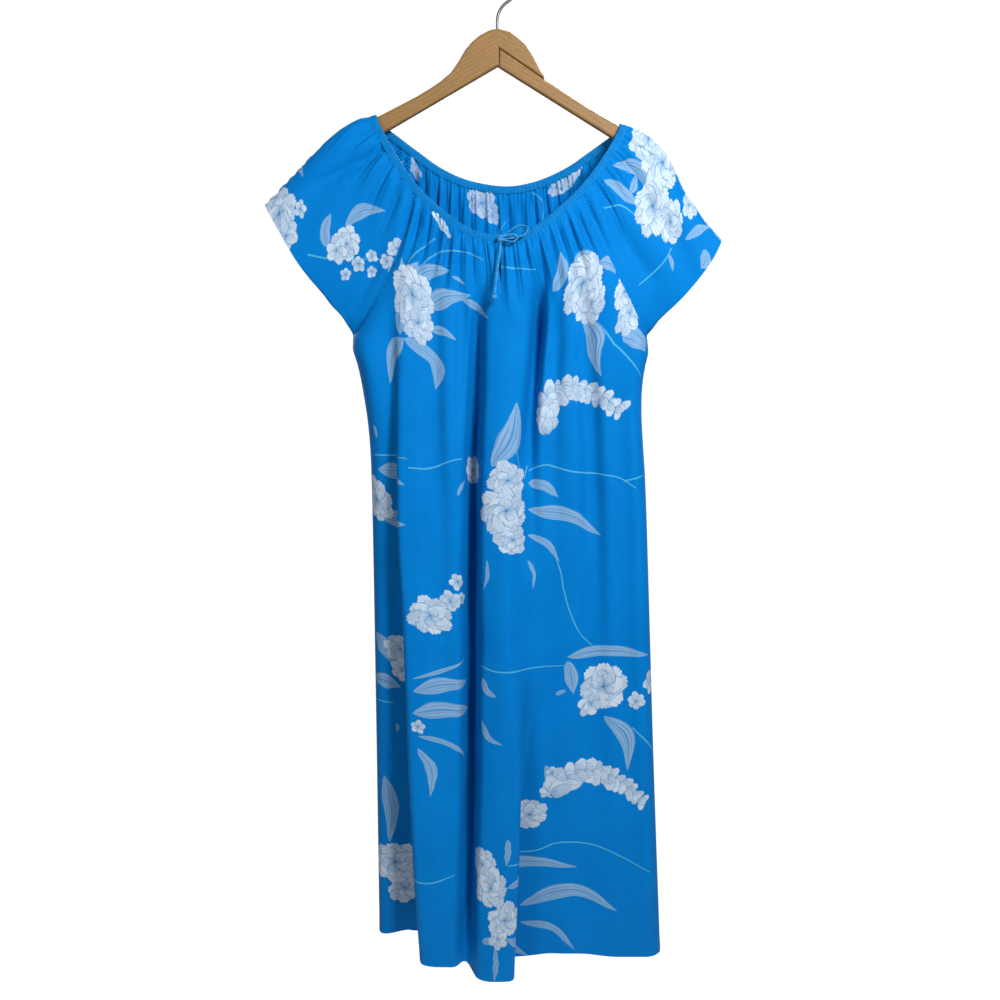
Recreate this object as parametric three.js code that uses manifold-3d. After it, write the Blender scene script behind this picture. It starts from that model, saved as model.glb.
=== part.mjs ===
import * as THREE from 'three';
import { mergeVertices } from 'three/addons/utils/BufferGeometryUtils.js';
import Module from 'manifold-3d';

// A loose mid-length muumuu with a gathered scoop neck and raglan cap sleeves, on a wooden hanger.
// Units are millimetres. +Z is up, +X is the viewer's right, and the front of the dress faces -Y.
// The origin is where a rail bears: the inside top of the hanger's hook.

const wasm = await Module();
wasm.setup();

// Cloth
const clothWall = 1.4;
const seamGap = 0.36;
const bandWall = 2.6;
const bandWidth = 10;

// Hanger: the outline of its wood seen from the front
const armThickness = 11;
const armBevel = 2.5;
const underside = { peakX: -3, peakZ: -115.8, leftSlope: 0.567, rightSlope: 0.605 };
const crownTop = { x: -3, z: -70.6 };
const leftTop = [
  { x: -13, z: -72.6 },
  { x: -25.4, z: -79 },
  { x: -35.6, z: -87.4 },
  { x: -43.4, z: -96.5 },
  { x: -52.2, z: -110.9 },
  { x: -61, z: -123.3 },
  { x: -74.7, z: -134.5 },
  { x: -87.2, z: -142.6 },
  { x: -103.9, z: -152.4 },
  { x: -144.6, z: -172.8 },
  { x: -170, z: -185.4 },
  { x: -185, z: -194 },
  { x: -194, z: -203 },
  { x: -199, z: -211 },
  { x: -197.5, z: -219 },
];
const rightCrown = [
  { x: 13.4, z: -75 },
  { x: 24.8, z: -83.4 },
  { x: 33.1, z: -90.9 },
  { x: 42.4, z: -104.9 },
  { x: 49.7, z: -118.9 },
  { x: 54.8, z: -126.4 },
];
const rightTop = [
  { x: 63.3, z: -136.5 },
  { x: 87.3, z: -152 },
  { x: 108.2, z: -165.1 },
  { x: 147.9, z: -187.3 },
  { x: 171, z: -199.8 },
  { x: 183, z: -207 },
  { x: 190, z: -215 },
  { x: 193, z: -222 },
  { x: 191.5, z: -229 },
];
const undersideEnds = { left: -189, right: 184 };
const jointX = -1;
const lapStart = { x: -1, z: -94 };
const lapEnd = { x: 57.1, z: -132.9 };

// Hook: one length of wire, and the route of its shank up to the circle
const wireRadius = 1.8;
const hookInsideRadius = 19;
const shankDepthInWood = 14;
const shankRoute = [
  { x: -3.3, z: -70 },
  { x: -3.2, z: -58 },
  { x: -1.3, z: -50.5 },
  { x: 3.8, z: -42.6 },
];
const hookLeavesAt = -50;
const hookEndsAt = 200;
const hookStep = 25;

// Neckline: the top edge of the neck band, anticlockwise from above, starting at the centre front
const neckline = [
  { at: 'centre front', x: 0, y: -37, z: -326 },
  { at: '', x: 30, y: -36, z: -322 },
  { at: '', x: 62, y: -32, z: -300 },
  { at: 'right front raglan', x: 94, y: -27, z: -271 },
  { at: '', x: 118, y: -22, z: -242 },
  { at: '', x: 136.5, y: -16, z: -215 },
  { at: '', x: 146, y: -11.5, z: -197 },
  { at: '', x: 149.3, y: -8, z: -188.8 },
  { at: 'right arm', x: 149.8, y: 0, z: -185.6 },
  { at: '', x: 149, y: 8, z: -188.8 },
  { at: '', x: 145.5, y: 11.5, z: -193.5 },
  { at: '', x: 133.5, y: 16, z: -202.5 },
  { at: 'right back raglan', x: 112, y: 20, z: -217 },
  { at: '', x: 84, y: 24, z: -235 },
  { at: '', x: 48, y: 27, z: -250.5 },
  { at: 'centre back', x: 8, y: 28, z: -257 },
  { at: '', x: -38, y: 27, z: -250.5 },
  { at: '', x: -76, y: 24, z: -234.5 },
  { at: 'left back raglan', x: -107, y: 20, z: -213.5 },
  { at: '', x: -131, y: 16, z: -196 },
  { at: '', x: -147, y: 12, z: -184.5 },
  { at: '', x: -153, y: 8.6, z: -177.8 },
  { at: 'left arm', x: -154.3, y: 0, z: -175.3 },
  { at: '', x: -153.3, y: -8.6, z: -177.8 },
  { at: '', x: -149.5, y: -12, z: -188 },
  { at: '', x: -138, y: -16, z: -209 },
  { at: '', x: -120, y: -22, z: -240 },
  { at: 'left front raglan', x: -99, y: -27, z: -268 },
  { at: '', x: -70, y: -32, z: -295 },
  { at: '', x: -36, y: -36, z: -318 },
];
const bandSlope = THREE.MathUtils.degToRad(16);
const slitHalfWidth = 3;
const slitRow = 3;

// Raglan and side seams, seen from the front
const raglanBend = {
  left: { x: -127, z: -368 },
  right: { x: 145, z: -372 },
};
const underarm = {
  left: { x: -187.5, z: -449 },
  right: { x: 187.5, z: -449 },
};
const sideSeams = {
  left: [
    { z: -449, x: -187.5 },
    { z: -466, x: -188 },
    { z: -479, x: -184 },
    { z: -495, x: -180 },
    { z: -520, x: -175.5 },
    { z: -565, x: -169.5 },
    { z: -620, x: -166.5 },
    { z: -845, x: -164.5 },
    { z: -1246, x: -163 },
  ],
  right: [
    { z: -449, x: 187.5 },
    { z: -470, x: 189.5 },
    { z: -486, x: 186 },
    { z: -512, x: 182.5 },
    { z: -545, x: 182 },
    { z: -580, x: 184 },
    { z: -634, x: 188 },
    { z: -740, x: 193 },
    { z: -1000, x: 204 },
    { z: -1272, x: 217 },
  ],
};

// Sleeves: the fold of the shoulder from the neck band to the cuff's top corner
const shoulderFold = {
  left: [
    { share: 0, x: -164.5, z: -176.8 },
    { share: 0.06, x: -174.5, z: -178.6 },
    { share: 0.18, x: -194.2, z: -187 },
    { share: 0.26, x: -205, z: -194.2 },
    { share: 0.46, x: -232.4, z: -217.6 },
    { share: 0.74, x: -266.6, z: -252.3 },
    { share: 1, x: -297.6, z: -284 },
  ],
  right: [
    { share: 0, x: 160, z: -187 },
    { share: 0.11, x: 179.2, z: -195.6 },
    { share: 0.2, x: 194.2, z: -204.2 },
    { share: 0.31, x: 207, z: -218.6 },
    { share: 0.43, x: 219.8, z: -238.2 },
    { share: 0.59, x: 233, z: -265 },
    { share: 0.73, x: 248.4, z: -287.4 },
    { share: 0.85, x: 261.4, z: -306 },
    { share: 1, x: 280, z: -327 },
  ],
};
const cuffBottom = {
  left: { x: -190.5, z: -432 },
  right: { x: 190, z: -440.5 },
};
// How far the cuff's edge bows out from the straight line between its two corners
const cuffBow = {
  left: [
    { up: 0, bow: 0 },
    { up: 0.1, bow: 0.8 },
    { up: 0.22, bow: 4.6 },
    { up: 0.42, bow: 8.2 },
    { up: 0.6, bow: 7.8 },
    { up: 0.86, bow: 2.6 },
    { up: 1, bow: 0 },
  ],
  right: [
    { up: 0, bow: 0 },
    { up: 0.17, bow: 2.8 },
    { up: 0.3, bow: 5.6 },
    { up: 0.45, bow: 7.8 },
    { up: 0.61, bow: 8.4 },
    { up: 0.81, bow: 6.6 },
    { up: 0.95, bow: 3 },
    { up: 1, bow: 1 },
  ],
};
const sleeveHalfDepth = { neck: 24, cuff: 17 };
const sleeveTroughs = {
  left: [
    { face: -1, x0: -141, z0: -217, x1: -246, z1: -270, width: 9, depth: 7 },
    { face: -1, x0: -143, z0: -348, x1: -183, z1: -420, width: 10, depth: 5 },
    { face: 1, x0: -150, z0: -215, x1: -240, z1: -300, width: 11, depth: 6 },
    { face: 1, x0: -128, z0: -300, x1: -200, z1: -390, width: 12, depth: 4 },
  ],
  right: [
    { face: -1, x0: 150, z0: -235, x1: 214, z1: -330, width: 12, depth: 5 },
    { face: -1, x0: 140, z0: -310, x1: 196, z1: -385, width: 12, depth: 5 },
    { face: 1, x0: 158, z0: -220, x1: 240, z1: -300, width: 11, depth: 6 },
    { face: 1, x0: 132, z0: -300, x1: 196, z1: -400, width: 12, depth: 5 },
  ],
};

// Rows of the panels: shares of the raglan seam, then shares of the side seams
const raglanShares = [0, 0.07, 0.17, 0.3, 0.45, 0.6, 0.75, 0.87, 0.95, 1];
const raglanPart = 0.2;
const gatheredRows = 4;
const skirtShares = [
  0.022, 0.048, 0.09, 0.15, 0.22, 0.29, 0.36, 0.43, 0.5, 0.57, 0.64, 0.71, 0.78, 0.86, 0.94, 1,
];
const cuffRows = 2;
const columns = { front: [64, 46], back: [64, 30], sleeve: [40, 22] };

// Gathers under the neck band
const gathers = { front: 16, back: 16, sleeve: 10 };
const gatherRise = { panel: 6.5, sleeve: 5 };
const gatherFade = { panel: 0.62, sleeve: 0.5 };

// Hem height across each panel
const hems = {
  front: [
    { x: -163, z: -1246 },
    { x: -112, z: -1243 },
    { x: -84, z: -1260 },
    { x: -44, z: -1268 },
    { x: -28, z: -1280 },
    { x: -2, z: -1281 },
    { x: 22, z: -1272 },
    { x: 80, z: -1267 },
    { x: 160, z: -1273 },
    { x: 217, z: -1272 },
  ],
  back: [
    { x: -163, z: -1246 },
    { x: -90, z: -1256 },
    { x: 10, z: -1264 },
    { x: 120, z: -1269 },
    { x: 217, z: -1272 },
  ],
};

// Front levels: how far forward each stretch hangs, before its folds
const frontLevels = [
  { z: -300, left: -30, middle: -37, right: -33 },
  { z: -450, left: -30, middle: -41, right: -33 },
  { z: -650, left: -22, middle: -52, right: -31 },
  { z: -900, left: -17, middle: -62, right: -28 },
  { z: -1280, left: -15, middle: -72, right: -25 },
];
// Front steps, where the middle stretch laps over its neighbours
const leftLapShare = 0.17;
const leftLap = [
  { z: -300, x: -126, half: 26, lap: 0 },
  { z: -430, x: -129, half: 16, lap: 6 },
  { z: -660, x: -127, half: 12, lap: 22 },
  { z: -850, x: -116, half: 11, lap: 30 },
  { z: -1000, x: -110, half: 11, lap: 33 },
  { z: -1280, x: -96, half: 11, lap: 34 },
];
const rightLap = [
  { z: -300, x: 46, half: 40, lap: 0 },
  { z: -560, x: 46, half: 40, lap: 0 },
  { z: -760, x: 37, half: 34, lap: 0 },
  { z: -950, x: 25, half: 18, lap: 12 },
  { z: -1110, x: 15, half: 12, lap: 26 },
  { z: -1280, x: 4, half: 11, lap: 32 },
];
// Valleys between standing folds: place, half width and depth from the neck to the hem
const frontValleys = [
  {
    name: 'deep, left of the centre column',
    share: 0.41,
    rows: [
      { z: -335, x: -20, half: 6, depth: 4 },
      { z: -450, x: -24, half: 7, depth: 20 },
      { z: -640, x: -33, half: 8, depth: 34 },
      { z: -1000, x: -38, half: 8.5, depth: 40 },
      { z: -1280, x: -44, half: 9, depth: 43 },
    ],
  },
  {
    name: 'right of the centre column',
    share: 0.61,
    rows: [
      { z: -310, x: 46, half: 8, depth: 5 },
      { z: -420, x: 47, half: 9, depth: 18 },
      { z: -560, x: 46, half: 10, depth: 18 },
      { z: -760, x: 37, half: 16, depth: 0 },
      { z: -1280, x: 4, half: 16, depth: 0 },
    ],
  },
  {
    name: 'soft, in the left column',
    share: 0,
    rows: [
      { z: -430, x: -82, half: 10, depth: 3 },
      { z: -620, x: -82, half: 14, depth: 10 },
      { z: -1100, x: -74, half: 18, depth: 0 },
    ],
  },
  {
    name: 'soft, in the right breast',
    share: 0.82,
    rows: [
      { z: -340, x: 96, half: 10, depth: 4 },
      { z: -600, x: 116, half: 16, depth: 12 },
      { z: -1280, x: 128, half: 26, depth: 3 },
    ],
  },
  {
    name: 'shallow, near the right seam',
    share: 0,
    rows: [
      { z: -470, x: 152, half: 12, depth: 0 },
      { z: -620, x: 156, half: 15, depth: 7 },
      { z: -1280, x: 176, half: 20, depth: 2 },
    ],
  },
];
const backLevels = [
  { z: -250, level: 27 },
  { z: -450, level: 27 },
  { z: -800, level: 24 },
  { z: -1280, level: 24 },
];
const backValleys = [
  {
    name: 'left',
    share: 0.17,
    rows: [
      { z: -300, x: -88, half: 9, depth: 3 },
      { z: -640, x: -112, half: 14, depth: 11 },
      { z: -1280, x: -118, half: 15, depth: 12 },
    ],
  },
  {
    name: 'left of centre',
    share: 0.31,
    rows: [
      { z: -320, x: -42, half: 9, depth: 4 },
      { z: -600, x: -56, half: 11, depth: 14 },
      { z: -1280, x: -60, half: 14, depth: 15 },
    ],
  },
  {
    name: 'centre',
    share: 0.48,
    rows: [
      { z: -330, x: 10, half: 10, depth: 3 },
      { z: -700, x: 6, half: 14, depth: 10 },
      { z: -1280, x: 4, half: 15, depth: 13 },
    ],
  },
  {
    name: 'right of centre',
    share: 0.65,
    rows: [
      { z: -320, x: 52, half: 9, depth: 4 },
      { z: -580, x: 66, half: 11, depth: 14 },
      { z: -1280, x: 76, half: 14, depth: 14 },
    ],
  },
  {
    name: 'right',
    share: 0.8,
    rows: [
      { z: -300, x: 94, half: 10, depth: 3 },
      { z: -660, x: 124, half: 14, depth: 10 },
      { z: -1280, x: 146, half: 17, depth: 11 },
    ],
  },
];
const seamRounding = 24;

// Tie at the centre front
const knot = { x: 1, y: -43.2, z: -331, halfWidth: 5, halfDepth: 4.2, halfHeight: 5 };
const ribbon = { width: 4.2, thickness: 1.6 };
const bowLoops = [
  { reachX: 34, reachZ: 13, spread: 6, y: -43.5 },
  { reachX: 21, reachZ: 1, spread: 4.5, y: -45.5 },
];
const tieRadius = 1.5;
const tieRoute = [
  { x: 0.5, y: -44.3, z: -335.95 },
  { x: 0, y: -46.4, z: -344 },
  { x: -1.5, y: -48.2, z: -356 },
  { x: -3.5, y: -49, z: -370 },
  { x: -5, y: -49.4, z: -384 },
  { x: -6.5, y: -49.6, z: -398 },
];
const tipKnot = { halfWidth: 4, halfHeight: 3.6 };

const clothBlue = new THREE.MeshStandardMaterial({ color: 0x0478d2, roughness: 0.55, metalness: 0 });
const bandBlue = new THREE.MeshStandardMaterial({ color: 0x066fc4, roughness: 0.55, metalness: 0 });
const beech = new THREE.MeshStandardMaterial({ color: 0xc09058, roughness: 0.45, metalness: 0 });
const steel = new THREE.MeshStandardMaterial({ color: 0x9a9c9e, roughness: 0.25, metalness: 1 });

const clamp01 = (value) => Math.min(1, Math.max(0, value));
const mix = (a, b, share) => a + (b - a) * share;
const smooth = (from, to, value) => {
  const share = clamp01((value - from) / (to - from));
  return share * share * (3 - 2 * share);
};

// A smooth curve through a table's rows, read at any value of its key column
function through(rows, key, column) {
  const sign = rows[0][key] > rows[rows.length - 1][key] ? -1 : 1;
  const keys = rows.map((row) => sign * row[key]);
  const values = rows.map((row) => row[column]);
  const last = rows.length - 1;
  const slopes = keys.map((_, i) => {
    const before = Math.max(0, i - 1);
    const after = Math.min(last, i + 1);
    return (values[after] - values[before]) / (keys[after] - keys[before]);
  });
  return (at) => {
    const place = Math.min(keys[last], Math.max(keys[0], sign * at));
    let i = 0;
    while (i < last - 1 && place > keys[i + 1]) i += 1;
    const span = keys[i + 1] - keys[i];
    const s = (place - keys[i]) / span;
    const rise = s * s * (3 - 2 * s);
    const lead = s * (1 - s) * (1 - s) * span * slopes[i];
    const trail = s * s * (s - 1) * span * slopes[i + 1];
    return mix(values[i], values[i + 1], rise) + lead + trail;
  };
}

// Neck band frame: place, outward normal and the direction in which the cloth falls away
const neckCurve = new THREE.CatmullRomCurve3(
  neckline.map((row) => new THREE.Vector3(row.x, row.y, row.z)),
  true,
  'catmullrom',
  0.5,
);
neckCurve.arcLengthDivisions = 40 * neckline.length;
const neckLengths = neckCurve.getLengths();
const neckLength = neckLengths[neckLengths.length - 1];
const shareAtRow = (row) => neckLengths[Math.round(row * 40)] / neckLength;
const neckShare = (label) => shareAtRow(neckline.findIndex((entry) => entry.at === label));
function neckFrame(share) {
  const wrapped = ((share % 1) + 1) % 1;
  const place = neckCurve.getPointAt(wrapped);
  const along = neckCurve.getTangentAt(wrapped);
  const overArm = smooth(13, 2, Math.abs(place.y));
  const normal = new THREE.Vector3(
    Math.sign(place.x) * Math.sin(bandSlope) * overArm,
    Math.sign(place.y) * Math.sqrt(1 - overArm * overArm),
    Math.cos(bandSlope) * overArm,
  );
  normal.addScaledVector(along, -normal.dot(along)).normalize();
  const fall = new THREE.Vector3().crossVectors(along, normal).normalize();
  return { place, normal, fall };
}
function belowBand(share, distance) {
  const frame = neckFrame(share);
  return frame.place.clone().addScaledVector(frame.fall, distance);
}

// Raglan seam of one side and face, from the band (0) to the underarm (1)
function raglanPoint(side, face, share) {
  const faceName = face < 0 ? 'front' : 'back';
  const start = belowBand(neckShare(`${side} ${faceName} raglan`), bandWidth + seamGap);
  const bend = raglanBend[side];
  const end = underarm[side];
  const a = (1 - share) * (1 - share);
  const b = 2 * share * (1 - share);
  const c = share * share;
  return new THREE.Vector3(
    a * start.x + b * bend.x + c * end.x,
    start.y * Math.max(0, 1 - share ** 3.4) ** 0.62,
    a * start.z + b * bend.z + c * end.z,
  );
}

const sideSeamX = {
  left: through(sideSeams.left, 'z', 'x'),
  right: through(sideSeams.right, 'z', 'x'),
};
function sidePoint(side, share) {
  const rows = sideSeams[side];
  const z = mix(rows[0].z, rows[rows.length - 1].z, share);
  return new THREE.Vector3(sideSeamX[side](z), 0, z);
}

const levelOf = {
  left: through(frontLevels, 'z', 'left'),
  middle: through(frontLevels, 'z', 'middle'),
  right: through(frontLevels, 'z', 'right'),
  back: through(backLevels, 'z', 'level'),
};
const leftLapAt = ['x', 'half', 'lap'].map((column) => through(leftLap, 'z', column));
const rightLapAt = ['x', 'half', 'lap'].map((column) => through(rightLap, 'z', column));
function lapShift(x, z, reader) {
  const [centre, half, lap] = reader.map((read) => read(z));
  const reach = (x - centre) / half;
  return {
    step: smooth(-1, 1, reach),
    shift: -lap * reach * Math.exp(-reach * reach),
  };
}
const valleyReaders = (valleys) =>
  valleys.map(({ rows }) =>
    ['x', 'half', 'depth'].map((column) => through(rows, 'z', column)).concat(rows[0].z),
  );
const frontReaders = valleyReaders(frontValleys);
const backReaders = valleyReaders(backValleys);
function valleyDepth(x, z, readers) {
  let depth = 0;
  for (const [placeAt, halfAt, depthAt, topZ] of readers) {
    const reach = (x - placeAt(z)) / halfAt(z);
    const core = 0.7 * Math.exp(-reach * reach) + 0.3 * Math.exp(-(reach * reach) / 9);
    depth += depthAt(z) * core * smooth(topZ + 60, topZ - 40, z);
  }
  return depth;
}

const hemAt = { front: through(hems.front, 'x', 'z'), back: through(hems.back, 'x', 'z') };

// One point of a panel before its cloth is shared out evenly: across from 0 to 1, and a row
function panelPoint(face, across, row) {
  const name = face < 0 ? 'front' : 'back';
  const inRaglan = row.zone === 'raglan';
  const edge = (side) => (inRaglan ? raglanPoint(side, face, row.share) : sidePoint(side, row.share));
  const left = edge('left');
  const right = edge('right');
  const topLeft = raglanPoint('left', face, 0);
  const topRight = raglanPoint('right', face, 0);
  const top = belowBand(neckAcross(face, across), bandWidth + seamGap);
  const sag = (1 - row.down) ** 1.2;
  const x = mix(left.x, right.x, across) + sag * (top.x - mix(topLeft.x, topRight.x, across));
  let z = mix(left.z, right.z, across) + sag * (top.z - mix(topLeft.z, topRight.z, across));
  const [hemStart, hemEnd] = [hems[name][0], hems[name][hems[name].length - 1]];
  const hemDip = hemAt[name](mix(hemStart.x, hemEnd.x, across)) - mix(hemStart.z, hemEnd.z, across);
  z += row.down ** 6 * hemDip;
  const seamDistance = Math.min(x - left.x, right.x - x);
  const round = Math.sqrt(Math.max(0, 1 - (1 - clamp01(seamDistance / seamRounding)) ** 2));
  let level = levelOf.back(z);
  let shift = 0;
  let depth = valleyDepth(x, z, face < 0 ? frontReaders : backReaders);
  if (face < 0) {
    const first = lapShift(x, z, leftLapAt);
    const second = lapShift(x, z, rightLapAt);
    level = mix(mix(levelOf.left(z), levelOf.middle(z), first.step), levelOf.right(z), second.step);
    shift = first.shift + second.shift;
  }
  depth *= round;
  const atSeam = Math.abs(x - left.x < right.x - x ? left.y : right.y) / Math.abs(level);
  const hold = Math.sqrt(atSeam * atSeam * (1 - round * round) + round * round);
  const hang = level * hold - face * depth;
  const y = mix(top.y, hang, Math.max(smooth(0, 0.14, row.down), (1 - round) ** 4));
  const point = new THREE.Vector3(x + shift * round, y, z);
  point.plainX = x;
  return point;
}
function neckAcross(face, across) {
  const label = face < 0 ? 'front' : 'back';
  const right = neckShare(`right ${label} raglan`);
  const left = neckShare(`left ${label} raglan`);
  return face < 0 ? mix(left - 1, right, across) : mix(left, right, across);
}

// Gathers stand out from the band, strongest a little below it, and die away unevenly
function gatherHeight(across, count, strength) {
  const wave = 0.5 - 0.5 * Math.cos(2 * Math.PI * count * across);
  const uneven = 0.82 + 0.18 * Math.sin(9.3 * across + 2.1 * Math.sin(21 * across));
  return wave * uneven * strength;
}
function gatherStrength(share, fade) {
  return (0.22 + 0.78 * smooth(0, 0.1, share)) * (1 - smooth(0.12, fade, share));
}

// Lines that keep to one thread of the cloth from neck to hem, as shares of its width
const anchorsOf = (folds) =>
  folds
    .filter((fold) => fold.share > 0)
    .sort((a, b) => a.share - b.share)
    .map(({ share, rows }) => ({ share, xAt: through(rows, 'z', 'x') }));
const anchorLines = {
  front: anchorsOf([{ share: leftLapShare, rows: leftLap }, ...frontValleys]),
  back: anchorsOf(backValleys),
};

// A row of a panel: its points lie evenly between those lines
const rowSamples = 420;
function panelRow(face, row, shares) {
  const name = face < 0 ? 'front' : 'back';
  const dense = [];
  const lengths = [0];
  for (let i = 0; i <= rowSamples; i += 1) {
    dense.push(panelPoint(face, i / rowSamples, row));
    if (i > 0) lengths.push(lengths[i - 1] + dense[i].distanceTo(dense[i - 1]));
  }
  const knots = [{ share: 0, length: 0 }];
  anchorLines[name].forEach(({ share, xAt }) => {
    const length = lengths[dense.findIndex((point) => point.plainX > xAt(point.z))];
    const natural = length / lengths[rowSamples];
    knots.push({ share: mix(natural, share, smooth(0.06, raglanPart, row.down)), length });
  });
  knots.push({ share: 1, length: lengths[rowSamples] });
  const acrossFor = (share) => {
    let knot = 0;
    while (knot < knots.length - 2 && share >= knots[knot + 1].share) knot += 1;
    const [from, to] = [knots[knot], knots[knot + 1]];
    const part = (share - from.share) / (to.share - from.share);
    const length = mix(from.length, to.length, part);
    let i = 0;
    while (i < rowSamples - 1 && lengths[i + 1] < length) i += 1;
    const inside = (length - lengths[i]) / (lengths[i + 1] - lengths[i]);
    return mix(share, (i + clamp01(inside)) / rowSamples, smooth(0.05, 0.22, row.down));
  };
  const raglanShare = row.zone === 'raglan' ? row.share : 1;
  const strength = gatherRise.panel * gatherStrength(raglanShare, gatherFade.panel);
  return shares.map((share) => {
    const point = panelPoint(face, acrossFor(share), row);
    point.y += face * gatherHeight(share, gathers[name], strength);
    return point;
  });
}

const panelRows = raglanShares.map((share) => ({ zone: 'raglan', share }));
skirtShares.forEach((share) => panelRows.push({ zone: 'skirt', share }));
panelRows.forEach((row) => {
  row.down = row.zone === 'raglan' ? row.share * raglanPart : mix(raglanPart, 1, row.share);
});

// A patch of cloth: points, triangles between neighbouring rows, and which points lie on its top edge
class Patch {
  constructor(outward) {
    this.outward = outward;
    this.points = [];
    this.triangles = [];
    this.top = new Map();
  }

  run(points, shares) {
    return points.map((point, i) => {
      this.points.push(point.clone());
      return { index: this.points.length - 1, share: shares[i] };
    });
  }

  stitch(upper, lower) {
    let i = 0;
    let j = 0;
    while (i < upper.length - 1 || j < lower.length - 1) {
      const nextUpper = i < upper.length - 1 ? upper[i + 1].share : Infinity;
      const nextLower = j < lower.length - 1 ? lower[j + 1].share : Infinity;
      if (nextUpper <= nextLower) {
        this.triangles.push([upper[i].index, lower[j].index, upper[i + 1].index]);
        i += 1;
      } else {
        this.triangles.push([upper[i].index, lower[j].index, lower[j + 1].index]);
        j += 1;
      }
    }
  }

  finish() {
    this.normals = this.points.map(() => new THREE.Vector3());
    const agreement = new THREE.Vector3();
    this.triangles.forEach((triangle) => {
      const [a, b, c] = triangle.map((index) => this.points[index]);
      const face = new THREE.Vector3().crossVectors(b.clone().sub(a), c.clone().sub(a));
      triangle.forEach((index) => this.normals[index].add(face));
      agreement.add(face);
    });
    if (agreement.dot(this.outward) < 0) {
      this.triangles.forEach((triangle) => triangle.reverse());
      this.normals.forEach((normal) => normal.negate());
    }
    this.normals.forEach((normal) => normal.normalize());
    this.top.forEach((normal, index) => this.normals[index].copy(normal));
    const uses = new Map();
    this.triangles.forEach((triangle) => {
      triangle.forEach((from, k) => {
        const to = triangle[(k + 1) % 3];
        const key = from < to ? `${from} ${to}` : `${to} ${from}`;
        uses.set(key, uses.has(key) ? null : [from, to]);
      });
    });
    this.rim = [...uses.values()].filter(Boolean);
    return this;
  }
}

// Pieces that meet at a seam share one normal there, and each is trimmed back by half the gap
function joinSeams(patches) {
  const rimPoints = patches.flatMap((patch) =>
    [...new Set(patch.rim.flat())].map((index) => ({ patch, index })),
  );
  const partnersOf = (patch, index) =>
    rimPoints.filter(
      (other) => other.patch.points[other.index].distanceTo(patch.points[index]) < 0.05,
    );
  const isShared = (patch, index) =>
    partnersOf(patch, index).some((other) => other.patch !== patch);
  const moves = [];
  patches.forEach((patch) => {
    const seamEdges = patch.rim.filter((edge) => edge.every((index) => isShared(patch, index)));
    new Set(seamEdges.flat()).forEach((index) => {
      const shared = new THREE.Vector3();
      partnersOf(patch, index).forEach((other) => shared.add(other.patch.normals[other.index]));
      shared.normalize();
      const inwards = seamEdges
        .filter((edge) => edge.includes(index))
        .map(([from, to]) => {
          const along = patch.points[to].clone().sub(patch.points[from]);
          return shared.clone().cross(along).normalize();
        });
      const away = inwards.reduce((sum, inward) => sum.add(inward), new THREE.Vector3());
      away.normalize();
      const reach = seamGap / 2 / Math.max(0.5, away.dot(inwards[0]));
      moves.push({ patch, index, shared, away: away.multiplyScalar(reach) });
    });
  });
  moves.forEach(({ patch, index, shared, away }) => {
    patch.normals[index].copy(shared);
    patch.points[index].add(away);
  });
}

// The wall of a patch: an outer and an inner skin, closed along the rim
function wallGeometry(patch, wall) {
  const count = patch.points.length;
  const positions = new Float32Array(count * 6);
  patch.points.forEach((point, i) => {
    const outer = point.clone().addScaledVector(patch.normals[i], wall / 2);
    const inner = point.clone().addScaledVector(patch.normals[i], -wall / 2);
    outer.toArray(positions, i * 3);
    inner.toArray(positions, (count + i) * 3);
  });
  const index = [];
  patch.triangles.forEach(([a, b, c]) => {
    index.push(a, b, c, count + c, count + b, count + a);
  });
  patch.rim.forEach(([from, to]) => {
    index.push(to, from, count + from, to, count + from, count + to);
  });
  const geometry = new THREE.BufferGeometry();
  geometry.setAttribute('position', new THREE.BufferAttribute(positions, 3));
  geometry.setIndex(index);
  geometry.computeVertexNormals();
  return geometry;
}

const evenShares = (count) => Array.from({ length: count + 1 }, (_, i) => i / count);

function panelPatch(face, [gathered, plain], slitRows) {
  const patch = new Patch(new THREE.Vector3(0, face, 0));
  let above = null;
  panelRows.forEach((row, number) => {
    const shares = evenShares(number < gatheredRows ? gathered : plain);
    const half = (shares.length - 1) / 2;
    const points = panelRow(face, row, shares);
    const left = patch.run(points.slice(0, half + 1), shares.slice(0, half + 1));
    let right = patch.run(points.slice(half + 1), shares.slice(half + 1));
    if (number < slitRows) {
      const open = slitHalfWidth * (1 - number / slitRows);
      const copy = patch.run([points[half]], [shares[half]]);
      patch.points[left[half].index].x -= open;
      patch.points[copy[0].index].x += open;
      right = copy.concat(right);
    } else {
      right = [left[half]].concat(right);
    }
    if (number === 0) {
      left.concat(right).forEach(({ index, share }) => {
        patch.top.set(index, neckFrame(neckAcross(face, share)).normal);
      });
    }
    if (above) {
      patch.stitch(above.left, left);
      patch.stitch(above.right, right);
    }
    above = { left, right };
  });
  return patch.finish();
}

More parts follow.
